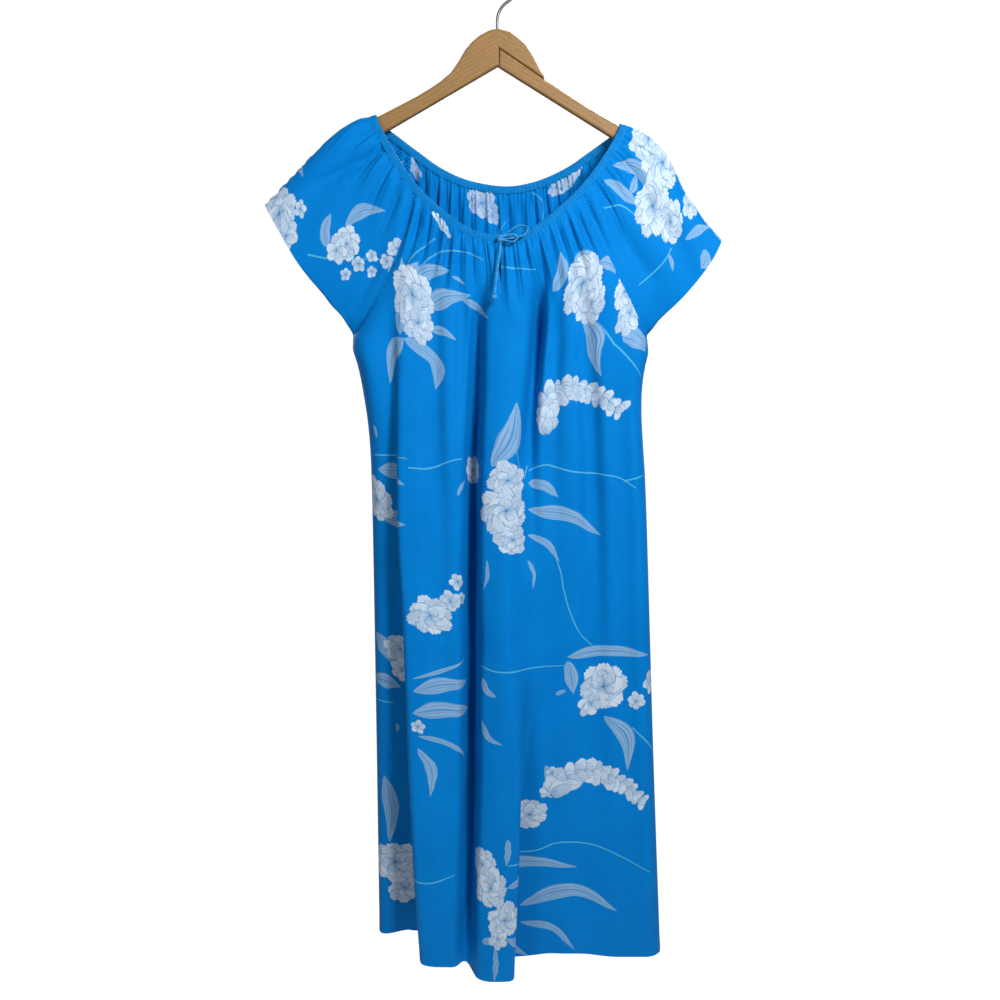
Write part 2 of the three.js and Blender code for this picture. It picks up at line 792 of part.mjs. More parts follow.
// A sleeve row runs from the front seam over the shoulder fold to the back seam
function sleevePoint(side, across, row) {
  const face = across < 0.5 ? -1 : 1;
  const up = across < 0.5 ? 2 * across : 2 - 2 * across;
  const base = (rowShare, seam, seamHalf) => {
    const fold = { x: foldAt[side].x(rowShare), z: foldAt[side].z(rowShare) };
    const half = mix(sleeveHalfDepth.neck, sleeveHalfDepth.cuff, rowShare);
    const lower = seamHalf * (1 - up) ** 1.5;
    const body = half * (1 - (1 - up) ** 2.6) ** 0.8;
    const ridge = Math.sqrt(Math.max(0, 1 - up ** 6));
    return new THREE.Vector3(
      mix(seam.x, fold.x, up),
      face * Math.hypot(lower, body) * ridge,
      mix(seam.z, fold.z, up),
    );
  };
  const seam = row.zone === 'raglan' ? raglanPoint(side, face, row.share) : row.seam[side];
  const point = base(row.foldShare, seam, Math.abs(seam.y));
  const start = raglanPoint(side, face, 0);
  const first = base(0, start, Math.abs(start.y));
  const neck = belowBand(neckOverSleeve(side, across), bandWidth + seamGap);
  point.addScaledVector(neck.sub(first), (1 - row.foldShare) ** 2.2);
  point.addScaledVector(cuffOut[side], cuffBowAt[side](up) * smooth(0.3, 1, row.foldShare));
  for (const trough of sleeveTroughs[side]) {
    if (trough.face !== face) continue;
    point.y -= face * troughDepth(point, trough) * smooth(0, 0.15, up) * smooth(1, 0.8, up);
  }
  return point;
}
function troughDepth(point, { x0, z0, x1, z1, width, depth }) {
  const dx = x1 - x0;
  const dz = z1 - z0;
  const along = ((point.x - x0) * dx + (point.z - z0) * dz) / (dx * dx + dz * dz);
  const held = clamp01(along);
  const off = Math.hypot(point.x - x0 - held * dx, point.z - z0 - held * dz);
  const taper = Math.sin(Math.PI * clamp01(mix(0.08, 0.92, along)));
  return depth * taper * Math.exp(-((off / width) ** 2));
}
const foldAt = Object.fromEntries(
  ['left', 'right'].map((side) => [
    side,
    {
      x: through(shoulderFold[side], 'share', 'x'),
      z: through(shoulderFold[side], 'share', 'z'),
    },
  ]),
);
const cuffBowAt = {
  left: through(cuffBow.left, 'up', 'bow'),
  right: through(cuffBow.right, 'up', 'bow'),
};
const cuffOut = Object.fromEntries(
  ['left', 'right'].map((side) => {
    const rise = foldAt[side].z(1) - cuffBottom[side].z;
    const run = foldAt[side].x(1) - cuffBottom[side].x;
    return [side, new THREE.Vector3(Math.sign(run) * rise, 0, -Math.abs(run)).normalize()];
  }),
);
function neckOverSleeve(side, across) {
  const front = neckShare(`${side} front raglan`);
  const arm = neckShare(`${side} arm`);
  const back = neckShare(`${side} back raglan`);
  return across < 0.5 ? mix(front, arm, 2 * across) : mix(arm, back, 2 * across - 1);
}

const sleeveRows = raglanShares.map((share) => ({ zone: 'raglan', share }));
for (let i = 1; i <= cuffRows; i += 1) {
  const seam = Object.fromEntries(
    ['left', 'right'].map((side) => [
      side,
      new THREE.Vector3(
        mix(underarm[side].x, cuffBottom[side].x, i / cuffRows),
        0,
        mix(underarm[side].z, cuffBottom[side].z, i / cuffRows),
      ),
    ]),
  );
  sleeveRows.push({ zone: 'cuff', share: 1, seam, step: i });
}
const raglanFoldPart = 0.86;
sleeveRows.forEach((row) => {
  row.foldShare = row.step
    ? mix(raglanFoldPart, 1, row.step / cuffRows)
    : row.share * raglanFoldPart;
});

function sleevePatch(side, [gathered, plain]) {
  const outwardX = side === 'left' ? -1 : 1;
  const patch = new Patch(new THREE.Vector3(outwardX, 0, 0.4));
  let above = null;
  sleeveRows.forEach((row, number) => {
    const shares = evenShares(number < gatheredRows ? gathered : plain);
    const strength = gatherRise.sleeve * gatherStrength(row.share, gatherFade.sleeve);
    const points = shares.map((share) => {
      const point = sleevePoint(side, share, row);
      const { normal } = neckFrame(neckOverSleeve(side, share));
      return point.addScaledVector(normal, gatherHeight(share, gathers.sleeve, strength));
    });
    const closed = row.zone === 'cuff' || row.share === 1;
    if (closed) points.pop();
    const run = patch.run(points, shares);
    if (closed) run.push({ index: run[0].index, share: 1 });
    if (number === 0) {
      run.forEach(({ index, share }) => {
        patch.top.set(index, neckFrame(neckOverSleeve(side, share)).normal);
      });
    }
    if (above) patch.stitch(above, run);
    above = run;
  });
  return patch.finish();
}

// Neck band: one strip right round, open at the slit
const bandStepsPerRow = 4;
function neckBand() {
  const patch = new Patch(new THREE.Vector3(0, 0, 1));
  const slitShare = slitHalfWidth / neckLength;
  const edges = [0, bandWidth];
  const columnsOfBand = evenShares(bandStepsPerRow * neckline.length).map((share) => {
    const place = shareAtRow(share * neckline.length);
    return { share, frame: neckFrame(mix(slitShare, 1 - slitShare, place)) };
  });
  const runs = edges.map((distance) =>
    patch.run(
      columnsOfBand.map(({ frame }) => frame.place.clone().addScaledVector(frame.fall, distance)),
      columnsOfBand.map(({ share }) => share),
    ),
  );
  patch.stitch(runs[0], runs[1]);
  runs.forEach((run) =>
    run.forEach(({ index }, i) => patch.top.set(index, columnsOfBand[i].frame.normal)),
  );
  return patch.finish();
}

function solidFrom(geometry) {
  const bare = new THREE.BufferGeometry();
  bare.setAttribute('position', geometry.getAttribute('position'));
  if (geometry.index) bare.setIndex(geometry.index);
  const merged = mergeVertices(bare, 1e-4);
  return new wasm.Manifold(
    new wasm.Mesh({
      numProp: 3,
      vertProperties: merged.getAttribute('position').array,
      triVerts: new Uint32Array(merged.index.array),
    }),
  );
}
function geometryFrom(solid) {
  const mesh = solid.getMesh();
  const geometry = new THREE.BufferGeometry();
  geometry.setAttribute('position', new THREE.BufferAttribute(mesh.vertProperties, 3));
  geometry.setIndex(new THREE.BufferAttribute(mesh.triVerts, 1));
  geometry.computeVertexNormals();
  return geometry;
}

// Hanger wood: outlines in the XZ plane, given thickness along Y
function undersideZ(x) {
  const reach = x - underside.peakX;
  const slope = reach < 0 ? underside.leftSlope : underside.rightSlope;
  return underside.peakZ - slope * Math.abs(reach);
}
function woodGeometry(corners) {
  const outline = corners.map(({ x, z }) => new THREE.Vector2(x, z));
  const geometry = new THREE.ExtrudeGeometry(new THREE.Shape(outline), {
    depth: armThickness - 2 * armBevel,
    bevelEnabled: true,
    bevelThickness: armBevel,
    bevelSize: armBevel,
    bevelOffset: -armBevel,
    bevelSegments: 2,
    curveSegments: 1,
    steps: 1,
  });
  geometry.rotateX(Math.PI / 2);
  geometry.translate(0, armThickness / 2 - armBevel, 0);
  return geometry;
}
function leftWood() {
  const half = seamGap / 2;
  const corners = [
    { x: underside.peakX, z: underside.peakZ },
    { x: jointX - half, z: undersideZ(jointX - half) },
    { x: jointX - half, z: lapStart.z },
    { x: lapEnd.x - 1.4, z: lapEnd.z + 1.3 },
    ...rightCrown.slice().reverse(),
    crownTop,
    ...leftTop,
    { x: undersideEnds.left, z: undersideZ(undersideEnds.left) },
  ];
  const wood = solidFrom(woodGeometry(corners));
  const bore = new THREE.CylinderGeometry(wireRadius + seamGap, wireRadius + seamGap, 40, 12);
  bore.rotateX(Math.PI / 2);
  bore.translate(shankRoute[0].x, 0, crownTop.z - shankDepthInWood - seamGap + 20);
  return geometryFrom(wood.subtract(solidFrom(bore)));
}
function rightWood() {
  const half = seamGap / 2;
  const corners = [
    { x: jointX + half, z: undersideZ(jointX + half) },
    { x: jointX + half, z: lapStart.z - 2 * seamGap },
    { x: lapEnd.x, z: lapEnd.z - half },
    ...rightTop,
    { x: undersideEnds.right, z: undersideZ(undersideEnds.right) },
  ];
  return woodGeometry(corners.reverse());
}

// Hook: a straight shank, an S bend and three quarters of a circle
function hookGeometry() {
  const radius = hookInsideRadius + wireRadius;
  const onCircle = (degrees) => {
    const angle = THREE.MathUtils.degToRad(degrees);
    const z = -hookInsideRadius + radius * Math.sin(angle);
    return new THREE.Vector3(radius * Math.cos(angle), 0, z);
  };
  const points = [new THREE.Vector3(shankRoute[0].x, 0, crownTop.z - shankDepthInWood)];
  shankRoute.forEach(({ x, z }) => points.push(new THREE.Vector3(x, 0, z)));
  for (let degrees = hookLeavesAt; degrees <= hookEndsAt; degrees += hookStep) {
    points.push(onCircle(degrees));
  }
  const section = new THREE.Shape();
  section.absarc(0, 0, wireRadius, 0, 2 * Math.PI);
  return new THREE.ExtrudeGeometry(section, {
    extrudePath: new THREE.CatmullRomCurve3(points, false, 'centripetal'),
    steps: 34,
    curveSegments: 4,
  });
}

// Bow: a knot with two flat loops lying to the right
function ribbonLoop({ reachX, reachZ, spread, y }) {
  const length = Math.hypot(reachX, reachZ);
  const ahead = new THREE.Vector2(reachX / length, reachZ / length);
  const aside = new THREE.Vector2(-ahead.y, ahead.x);
  const place = (along, across, lift) =>
    new THREE.Vector3(
      knot.x + ahead.x * along + aside.x * across,
      y + lift,
      knot.z + ahead.y * along + aside.y * across,
    );
  const route = [
    place(0, 1.2, 0),
    place(length * 0.35, spread * 0.7, 0),
    place(length * 0.75, spread, -0.5),
    place(length, 0, -1),
    place(length * 0.75, -spread, -0.5),
    place(length * 0.35, -spread * 0.7, 0),
    place(0, -1.2, 0),
  ];
  const halfThick = ribbon.thickness / 2;
  const halfWide = ribbon.width / 2;
  const section = new THREE.Shape([
    new THREE.Vector2(-halfThick, -halfWide),
    new THREE.Vector2(halfThick, -halfWide),
    new THREE.Vector2(halfThick, halfWide),
    new THREE.Vector2(-halfThick, halfWide),
  ]);
  return new THREE.ExtrudeGeometry(section, {
    extrudePath: new THREE.CatmullRomCurve3(route, false, 'centripetal'),
    steps: 18,
  });
}
function bowGeometry() {
  const body = new THREE.SphereGeometry(1, 10, 8);
  body.scale(knot.halfWidth, knot.halfDepth, knot.halfHeight);
  body.translate(knot.x, knot.y, knot.z);
  let solid = solidFrom(body);
  bowLoops.forEach((loop) => {
    solid = solid.add(solidFrom(ribbonLoop(loop)));
  });
  return geometryFrom(solid);
}
function tieGeometry() {
  const route = tieRoute.map(({ x, y, z }) => new THREE.Vector3(x, y, z));
  const section = new THREE.Shape();
  section.absarc(0, 0, tieRadius, 0, 2 * Math.PI);
  return new THREE.ExtrudeGeometry(section, {
    extrudePath: new THREE.CatmullRomCurve3(route, false, 'centripetal'),
    steps: 14,
    curveSegments: 4,
  });
}
function tipKnotGeometry() {
  const end = tieRoute[tieRoute.length - 1];
  const geometry = new THREE.SphereGeometry(1, 10, 8);
  geometry.scale(tipKnot.halfWidth, tipKnot.halfWidth * 0.8, tipKnot.halfHeight);
  geometry.translate(end.x - 0.4, end.y, end.z - tipKnot.halfHeight - seamGap);
  return geometry;
}

const muumuu = new THREE.Group();
function addPiece(name, geometry, material) {
  const mesh = new THREE.Mesh(geometry, material);
  mesh.name = name;
  muumuu.add(mesh);
}

const cloth = {
  dress_front: panelPatch(-1, columns.front, slitRow),
  dress_back: panelPatch(1, columns.back, 0),
  sleeve_left: sleevePatch('left', columns.sleeve),
  sleeve_right: sleevePatch('right', columns.sleeve),
};
joinSeams(Object.values(cloth));
Object.entries(cloth).forEach(([name, patch]) => {
  addPiece(name, wallGeometry(patch, clothWall), clothBlue);
});
addPiece('neck_band', wallGeometry(neckBand(), bandWall), bandBlue);
addPiece('tie_bow', bowGeometry(), bandBlue);
addPiece('tie_end', tieGeometry(), bandBlue);
addPiece('tie_tip_knot', tipKnotGeometry(), bandBlue);
addPiece('hanger_wood_left', leftWood(), beech);
addPiece('hanger_wood_right', rightWood(), beech);
addPiece('hanger_hook', hookGeometry(), steel);

export default muumuu;
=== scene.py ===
"""A floral muumuu on a wooden hanger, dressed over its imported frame."""
import math

import bpy
import numpy as np
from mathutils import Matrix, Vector
from mathutils.geometry import delaunay_2d_cdt


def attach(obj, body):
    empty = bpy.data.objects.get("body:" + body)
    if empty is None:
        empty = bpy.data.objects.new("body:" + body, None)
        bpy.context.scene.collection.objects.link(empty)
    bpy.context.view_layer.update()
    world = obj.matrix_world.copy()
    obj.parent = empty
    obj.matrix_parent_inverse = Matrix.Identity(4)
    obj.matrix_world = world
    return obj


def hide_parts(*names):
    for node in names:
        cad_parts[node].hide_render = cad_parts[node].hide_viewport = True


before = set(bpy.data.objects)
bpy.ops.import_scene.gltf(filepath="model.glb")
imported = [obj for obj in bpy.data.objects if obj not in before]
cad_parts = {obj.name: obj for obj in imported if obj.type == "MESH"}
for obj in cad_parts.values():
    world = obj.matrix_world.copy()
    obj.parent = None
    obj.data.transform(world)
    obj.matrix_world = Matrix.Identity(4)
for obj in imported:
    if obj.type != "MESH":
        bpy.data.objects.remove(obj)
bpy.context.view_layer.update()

# Colours, linear
GROUND, GROUND_DEEP = (0.0005, 0.126, 0.385), (0.0004, 0.115, 0.36)
GROUND_LIGHT = (0.0007, 0.14, 0.41)
PETAL_LIGHT, PETAL_DEEP = (0.4, 0.47, 0.53), (0.22, 0.32, 0.42)
PETAL_SHADE, PETAL_TIP, PETAL_HEART = (0.075, 0.165, 0.3), (0.42, 0.49, 0.55), (0.04, 0.13, 0.28)
LEAF_LIGHT, LEAF_DEEP, LEAF_VEIN = (0.19, 0.3, 0.43), (0.11, 0.23, 0.38), (0.03, 0.15, 0.34)
STEM_COLOUR, STITCH = (0.05, 0.26, 0.42), (0.005, 0.16, 0.42)
BAND, BAND_DEEP = (0.003, 0.12, 0.335), (0.002, 0.1, 0.29)
TIE_LIGHT, TIE = (0.05, 0.23, 0.44), (0.012, 0.15, 0.37)
WOOD_LIGHT, WOOD = (0.212, 0.118, 0.039), (0.165, 0.087, 0.027)
WOOD_DEEP, WOOD_DARK = (0.115, 0.057, 0.017), (0.06, 0.029, 0.01)
STEEL, STEEL_DARK = (0.14, 0.14, 0.145), (0.08, 0.08, 0.085)
GLOSS_TINT = (0.1, 0.4, 1.0, 1.0)
# Camera: focal length in millimetres, place, and degrees below level
FOCAL_LENGTH, CAMERA_PLACE, CAMERA_DOWN = 41.8, (0.0, -1.5, -0.4914), 6.4
# Strength of the white surround, as light and as the camera sees it
SURROUND, WHITE = 0.15, 1.06
# Lamps: name, place, what it faces, size, watts
LIGHTS = [
    ("key", (0.8, -1.3, 0.35), (0, 0, -0.55), 0.5, 52.0),
    ("fill", (-1.5, -2.0, 0.2), (0, 0, -0.6), 0.8, 25.0),
    ("back_key", (0.9, 1.7, 0.8), (0, 0, -0.5), 1.2, 64.0),
    ("back_fill", (-1.6, 1.9, 0.2), (0, 0, -0.6), 1.2, 26.0),
]


def table(names, *rows):
    """Rows of numbers as a dict of named columns."""
    return dict(zip(names.split(), np.array(rows, dtype=float).T))


def valley(thread, *rows):
    """A valley between standing folds: the thread it keeps to (0 for none), and its course."""
    return thread, table("z x half depth", *rows)


# Lengths from here on are in millimetres, and meshes are made in metres.
SIDES = ("left", "right")
FRONT, BACK = -1, 1
FACE_NAME = {FRONT: "front", BACK: "back"}
BAND_WIDTH = 10.0
SEAM_GAP = 0.36
BAND_SLOPE = math.radians(16)
SLIT_HALF_WIDTH = 3.0
# Where the slit ends, as a share of the raglan rows
SLIT_SHARE = 0.3
# The top edge of the neck band, anticlockwise from above, from the centre front
NECK = table(
    "x y z",
    (0, -37, -326), (30, -36, -322), (62, -32, -300), (94, -27, -271), (118, -22, -242),
    (136.5, -16, -215), (146, -11.5, -197), (149.3, -8, -188.8), (149.8, 0, -185.6),
    (149, 8, -188.8), (145.5, 11.5, -193.5), (133.5, 16, -202.5), (112, 20, -217),
    (84, 24, -235), (48, 27, -250.5), (8, 28, -257), (-38, 27, -250.5), (-76, 24, -234.5),
    (-107, 20, -213.5), (-131, 16, -196), (-147, 12, -184.5), (-153, 8.6, -177.8),
    (-154.3, 0, -175.3), (-153.3, -8.6, -177.8), (-149.5, -12, -188), (-138, -16, -209),
    (-120, -22, -240), (-99, -27, -268), (-70, -32, -295), (-36, -36, -318),
)
NECK_ROW = {
    "right front": 3, "right arm": 8, "right back": 12,
    "left back": 18, "left arm": 22, "left front": 27,
}
RAGLAN_BEND = {"left": (-127, -368), "right": (145, -372)}
UNDERARM = {"left": (-187.5, -449), "right": (187.5, -449)}
SIDE_SEAM = {
    "left": table(
        "z x",
        (-449, -187.5), (-466, -188), (-479, -184), (-495, -180), (-520, -175.5),
        (-565, -169.5), (-620, -166.5), (-845, -164.5), (-1246, -163),
    ),
    "right": table(
        "z x",
        (-449, 187.5), (-470, 189.5), (-486, 186), (-512, 182.5), (-545, 182),
        (-580, 184), (-634, 188), (-740, 193), (-1000, 204), (-1272, 217),
    ),
}
SHOULDER_FOLD = {
    "left": table(
        "share x z",
        (0, -164.5, -176.8), (0.06, -174.5, -178.6), (0.18, -194.2, -187),
        (0.26, -205, -194.2), (0.46, -232.4, -217.6), (0.74, -266.6, -252.3),
        (1, -297.6, -284),
    ),
    "right": table(
        "share x z",
        (0, 160, -187), (0.11, 179.2, -195.6), (0.2, 194.2, -204.2), (0.31, 207, -218.6),
        (0.43, 219.8, -238.2), (0.59, 233, -265), (0.73, 248.4, -287.4),
        (0.85, 261.4, -306), (1, 280, -327),
    ),
}
CUFF_BOTTOM = {"left": (-190.5, -432), "right": (190, -440.5)}
CUFF_BOW = {
    "left": table(
        "up bow",
        (0, 0), (0.1, 0.8), (0.22, 4.6), (0.42, 8.2), (0.6, 7.8), (0.86, 2.6), (1, 0),
    ),
    "right": table(
        "up bow",
        (0, 0), (0.17, 2.8), (0.3, 5.6), (0.45, 7.8), (0.61, 8.4), (0.81, 6.6),
        (0.95, 3), (1, 1),
    ),
}
SLEEVE_HALF_NECK = 24.0
SLEEVE_HALF_CUFF = 17.0
# Creases of the sleeves: face, x and z of both ends, half width, depth
SLEEVE_CREASES = {
    "left": [
        (FRONT, -141, -217, -246, -270, 9, 7), (FRONT, -143, -348, -183, -420, 10, 5),
        (BACK, -150, -215, -240, -300, 11, 6), (BACK, -128, -300, -200, -390, 12, 4),
    ],
    "right": [
        (FRONT, 150, -235, 214, -330, 12, 5), (FRONT, 140, -310, 196, -385, 12, 5),
        (BACK, 158, -220, 240, -300, 11, 6), (BACK, 132, -300, 196, -400, 12, 5),
    ],
}
# The raglan zone's share of a panel's rows and of a sleeve's
RAGLAN_PART, FOLD_PART = 0.2, 0.86
PANEL_GATHERS, SLEEVE_GATHERS = 16, 10
HEM = {
    FRONT: table(
        "x z",
        (-163, -1246), (-112, -1243), (-84, -1260), (-44, -1268), (-28, -1280),
        (-2, -1281), (22, -1272), (80, -1267), (160, -1273), (217, -1272),
    ),
    BACK: table(
        "x z", (-163, -1246), (-90, -1256), (10, -1264), (120, -1269), (217, -1272),
    ),
}
FRONT_LEVEL = table(
    "z left tuck middle right",
    (-300, -30, 0, -37, -33), (-450, -30, 0, -41, -33), (-650, -23, 1, -52, -31),
    (-900, -20, 7, -62, -28), (-1280, -18, 18, -72, -25),
)
BACK_LEVEL = table("z level", (-250, 27), (-450, 27), (-800, 24), (-1280, 24))
# Where the middle of the front laps over its neighbours, and the left lap's thread
LEFT_LAP_THREAD = 0.17
LEFT_LAP = table(
    "z x half lap",
    (-300, -126, 26, 0), (-430, -129, 16, 6), (-660, -127, 12, 22), (-850, -116, 11, 30),
    (-1000, -110, 11, 33), (-1280, -96, 11, 34),
)
RIGHT_LAP = table(
    "z x half lap",
    (-300, 46, 40, 0), (-560, 42, 40, 0), (-760, 38, 34, 0), (-950, 30, 18, 13),
    (-1110, 20, 12, 28), (-1280, 10, 11, 34),
)
VALLEYS = {
    FRONT: [
        valley(0.41, (-335, -22, 6, 4), (-450, -27, 8, 27), (-640, -35, 9.5, 44),
               (-1000, -38, 10, 47), (-1180, -42, 10, 38), (-1280, -45, 11, 26)),
        valley(0.61, (-310, 46, 8, 6), (-420, 49, 8.5, 36), (-560, 38, 10, 25),
               (-760, 34, 18, 10), (-1280, 10, 16, 0)),
        valley(0, (-400, -82, 9, 7), (-620, -82, 14, 10), (-1100, -74, 18, 0)),
        valley(0, (-350, -46, 7, 5), (-430, -48, 7, 6), (-640, -56, 9, 0)),
        valley(0, (-360, 72, 7, 5), (-470, 70, 9, 8), (-700, 64, 12, 2)),
        valley(0.82, (-340, 96, 10, 6), (-600, 116, 14, 14), (-1280, 128, 26, 3)),
        valley(0, (-470, 152, 12, 0), (-620, 156, 15, 7), (-1280, 176, 20, 2)),
    ],
    BACK: [
        valley(0.17, (-300, -88, 9, 3), (-640, -112, 14, 11), (-1280, -118, 15, 12)),
        valley(0.31, (-320, -42, 9, 4), (-600, -56, 11, 14), (-1280, -60, 14, 15)),
        valley(0.48, (-330, 10, 10, 3), (-700, 6, 14, 10), (-1280, 4, 15, 13)),
        valley(0.65, (-320, 52, 9, 4), (-580, 66, 11, 14), (-1280, 76, 14, 14)),
        valley(0.8, (-300, 94, 10, 3), (-660, 124, 14, 10), (-1280, 146, 17, 11)),
    ],
}
SEAM_ROUNDING = 24.0


def clamp01(value):
    return np.clip(value, 0.0, 1.0)


def mix(a, b, share):
    return a + (b - a) * share


def smooth(start, end, value):
    share = clamp01((value - start) / (end - start))
    return share * share * (3 - 2 * share)


def through(rows, key, column):
    """A smooth curve through a table's rows, read at any value of its key column."""
    sign = -1.0 if rows[key][0] > rows[key][-1] else 1.0
    keys, values = sign * rows[key], rows[column]
    last = len(keys) - 1
    before = np.maximum(np.arange(last + 1) - 1, 0)
    after = np.minimum(np.arange(last + 1) + 1, last)
    slopes = (values[after] - values[before]) / (keys[after] - keys[before])

    def read(at):
        place = np.clip(sign * np.asarray(at, dtype=float), keys[0], keys[-1])
        i = np.searchsorted(keys[1:-1], place, "left")
        span = keys[i + 1] - keys[i]
        s = (place - keys[i]) / span
        rise = s * s * (3 - 2 * s)
        lead = s * (1 - s) * (1 - s) * span * slopes[i]
        trail = s * s * (s - 1) * span * slopes[i + 1]
        return mix(values[i], values[i + 1], rise) + lead + trail

    return read


def unit(vectors):
    return vectors / np.linalg.norm(vectors, axis=-1, keepdims=True)


def run_along(points):
    """Lengths along a row of points, from 0."""
    return np.concatenate([[0], np.cumsum(np.linalg.norm(np.diff(points, axis=0), axis=1))])


class NeckCurve:
    """The neck band's top edge as a closed smooth curve, read by its share of the length."""

    DIVISIONS = 40

    def __init__(self):
        self.points = np.stack([NECK["x"], NECK["y"], NECK["z"]], axis=-1)
        self.count = len(self.points)
        self.turns = np.linspace(0, 1, self.DIVISIONS * self.count + 1)
        self.lengths = run_along(self.at_turn(self.turns))
        self.length = self.lengths[-1]

    def at_turn(self, turn):
        place = np.asarray(turn, dtype=float) * self.count
        whole = np.floor(place).astype(int)
        s = (place - whole)[..., None]
        p0, p1, p2, p3 = (self.points[(whole + k) % self.count] for k in (-1, 0, 1, 2))
        t0, t1 = 0.5 * (p2 - p0), 0.5 * (p3 - p1)
        return (p1 + t0 * s + (3 * (p2 - p1) - 2 * t0 - t1) * s**2
                + (2 * (p1 - p2) + t0 + t1) * s**3)

    def share_of_row(self, row):
        return self.lengths[int(round(row * self.DIVISIONS))] / self.length

    def frame(self, share):
        """Place, outward normal and the direction in which the cloth falls away."""
        wrapped = np.mod(share, 1.0)
        turn = np.interp(wrapped * self.length, self.lengths, self.turns)
        place = self.at_turn(turn)
        along = unit(self.at_turn(turn + 1e-4) - self.at_turn(turn - 1e-4))
        over = smooth(13.0, 2.0, np.abs(place[..., 1]))
        normal = np.stack([
            np.sign(place[..., 0]) * math.sin(BAND_SLOPE) * over,
            np.sign(place[..., 1]) * np.sqrt(1 - over * over),
            math.cos(BAND_SLOPE) * over,
        ], axis=-1)
        normal = unit(normal - along * np.sum(normal * along, axis=-1, keepdims=True))
        return place, normal, unit(np.cross(along, normal))

    def below(self, share, distance=BAND_WIDTH + SEAM_GAP):
        place, _, fall = self.frame(share)
        return place + fall * distance


neck = NeckCurve()
NECK_SHARE = {name: neck.share_of_row(row) for name, row in NECK_ROW.items()}


def neck_across(face, across):
    left, right = (NECK_SHARE[f"{side} {FACE_NAME[face]}"] for side in SIDES)
    if face == FRONT:
        left -= 1
    return mix(left, right, across)


def neck_over_sleeve(side, across):
    front, arm, back = (NECK_SHARE[f"{side} {name}"] for name in ("front", "arm", "back"))
    across = np.asarray(across, dtype=float)
    return np.where(across < 0.5, mix(front, arm, 2 * across), mix(arm, back, 2 * across - 1))


def raglan_point(side, face, share):
    """Raglan seam of one side and face, from the band (0) to the underarm (1)."""
    start = neck.below(NECK_SHARE[f"{side} {FACE_NAME[face]}"])
    bend, end = RAGLAN_BEND[side], UNDERARM[side]
    a, b, c = (1 - share) ** 2, 2 * share * (1 - share), share * share
    return np.array([
        a * start[0] + b * bend[0] + c * end[0],
        start[1] * max(0.0, 1 - share**3.4) ** 0.62,
        a * start[2] + b * bend[1] + c * end[1],
    ])


side_x = {side: through(SIDE_SEAM[side], "z", "x") for side in SIDES}


def side_point(side, share):
    z = mix(SIDE_SEAM[side]["z"][0], SIDE_SEAM[side]["z"][-1], share)
    return np.array([float(side_x[side](z)), 0.0, z])


level_at = {
    name: through(FRONT_LEVEL, "z", name) for name in ("left", "tuck", "middle", "right")}
level_at["back"] = through(BACK_LEVEL, "z", "level")
lap_at = [
    [through(rows, "z", name) for name in ("x", "half", "lap")] for rows in (LEFT_LAP, RIGHT_LAP)
]
valley_at = {
    face: [
        [through(rows, "z", name) for name in ("x", "half", "depth")] + [rows["z"][0]]
        for _, rows in valleys
    ]
    for face, valleys in VALLEYS.items()
}
hem_at = {face: through(rows, "x", "z") for face, rows in HEM.items()}


def lap_shift(x, z, readers):
    centre, half, lap = (read(z) for read in readers)
    reach = (x - centre) / half
    return smooth(-1.0, 1.0, reach), -lap * reach * np.exp(-reach * reach)


def valley_depth(x, z, face):
    depth = 0.0
    for place_at, half_at, depth_at, top in valley_at[face]:
        reach = (x - place_at(z)) / half_at(z)
        core = 0.75 * np.exp(-np.abs(reach) ** 2.8) + 0.25 * np.exp(-(reach * reach) / 9)
        depth = depth + depth_at(z) * core * smooth(top + 60, top - 40, z)
    return depth


def share_down(zone, share, raglan_part):
    """How far down its piece a row lies: share counts within the row's zone."""
    return share * raglan_part if zone == "raglan" else mix(raglan_part, 1, share)


def panel_points(face, across, zone, share):
    """Points of a panel's row, before its cloth is shared out evenly, and their plain x."""
    down = share_down(zone, share, RAGLAN_PART)
    if zone == "raglan":
        left, right = (raglan_point(side, face, share) for side in SIDES)
    else:
        left, right = (side_point(side, share) for side in SIDES)
    top_left, top_right = (raglan_point(side, face, 0) for side in SIDES)
    top = neck.below(neck_across(face, across))
    sag = (1 - down) ** 1.2

    def hanging(axis):
        plain_top = mix(top_left[axis], top_right[axis], across)
        return mix(left[axis], right[axis], across) + sag * (top[:, axis] - plain_top)

    x, z = hanging(0), hanging(2)
    hem = HEM[face]
    hem_dip = hem_at[face](mix(hem["x"][0], hem["x"][-1], across)) - mix(
        hem["z"][0], hem["z"][-1], across)
    z = z + down**6 * hem_dip
    seam_distance = np.minimum(x - left[0], right[0] - x)
    rounding = np.sqrt(np.maximum(0, 1 - (1 - clamp01(seam_distance / SEAM_ROUNDING)) ** 2))
    level, shift = level_at["back"](z), 0.0
    if face == FRONT:
        (first, move_a), (second, move_b) = (lap_shift(x, z, readers) for readers in lap_at)
        tucked = level_at["left"](z) + level_at["tuck"](z) * clamp01((x - left[0]) / 60)
        level = mix(mix(tucked, level_at["middle"](z), first), level_at["right"](z), second)
        shift = move_a + move_b
    seam_y = np.where(x - left[0] < right[0] - x, left[1], right[1])
    at_seam = np.abs(seam_y) / np.abs(level)
    hold = np.sqrt(at_seam**2 * (1 - rounding**2) + rounding**2)
    hang = level * hold - face * valley_depth(x, z, face) * rounding
    blend = np.maximum(smooth(0.0, 0.14, down), (1 - rounding) ** 4)
    y = mix(top[:, 1], hang, blend)
    return np.stack([x + shift * rounding, y, z], axis=-1), x


def anchors(folds):
    """The folds that keep to a thread, from the left: the thread, and a reader of x at z."""
    held = sorted((fold for fold in folds if fold[0] > 0), key=lambda fold: fold[0])
    return [(thread, through(rows, "z", "x")) for thread, rows in held]


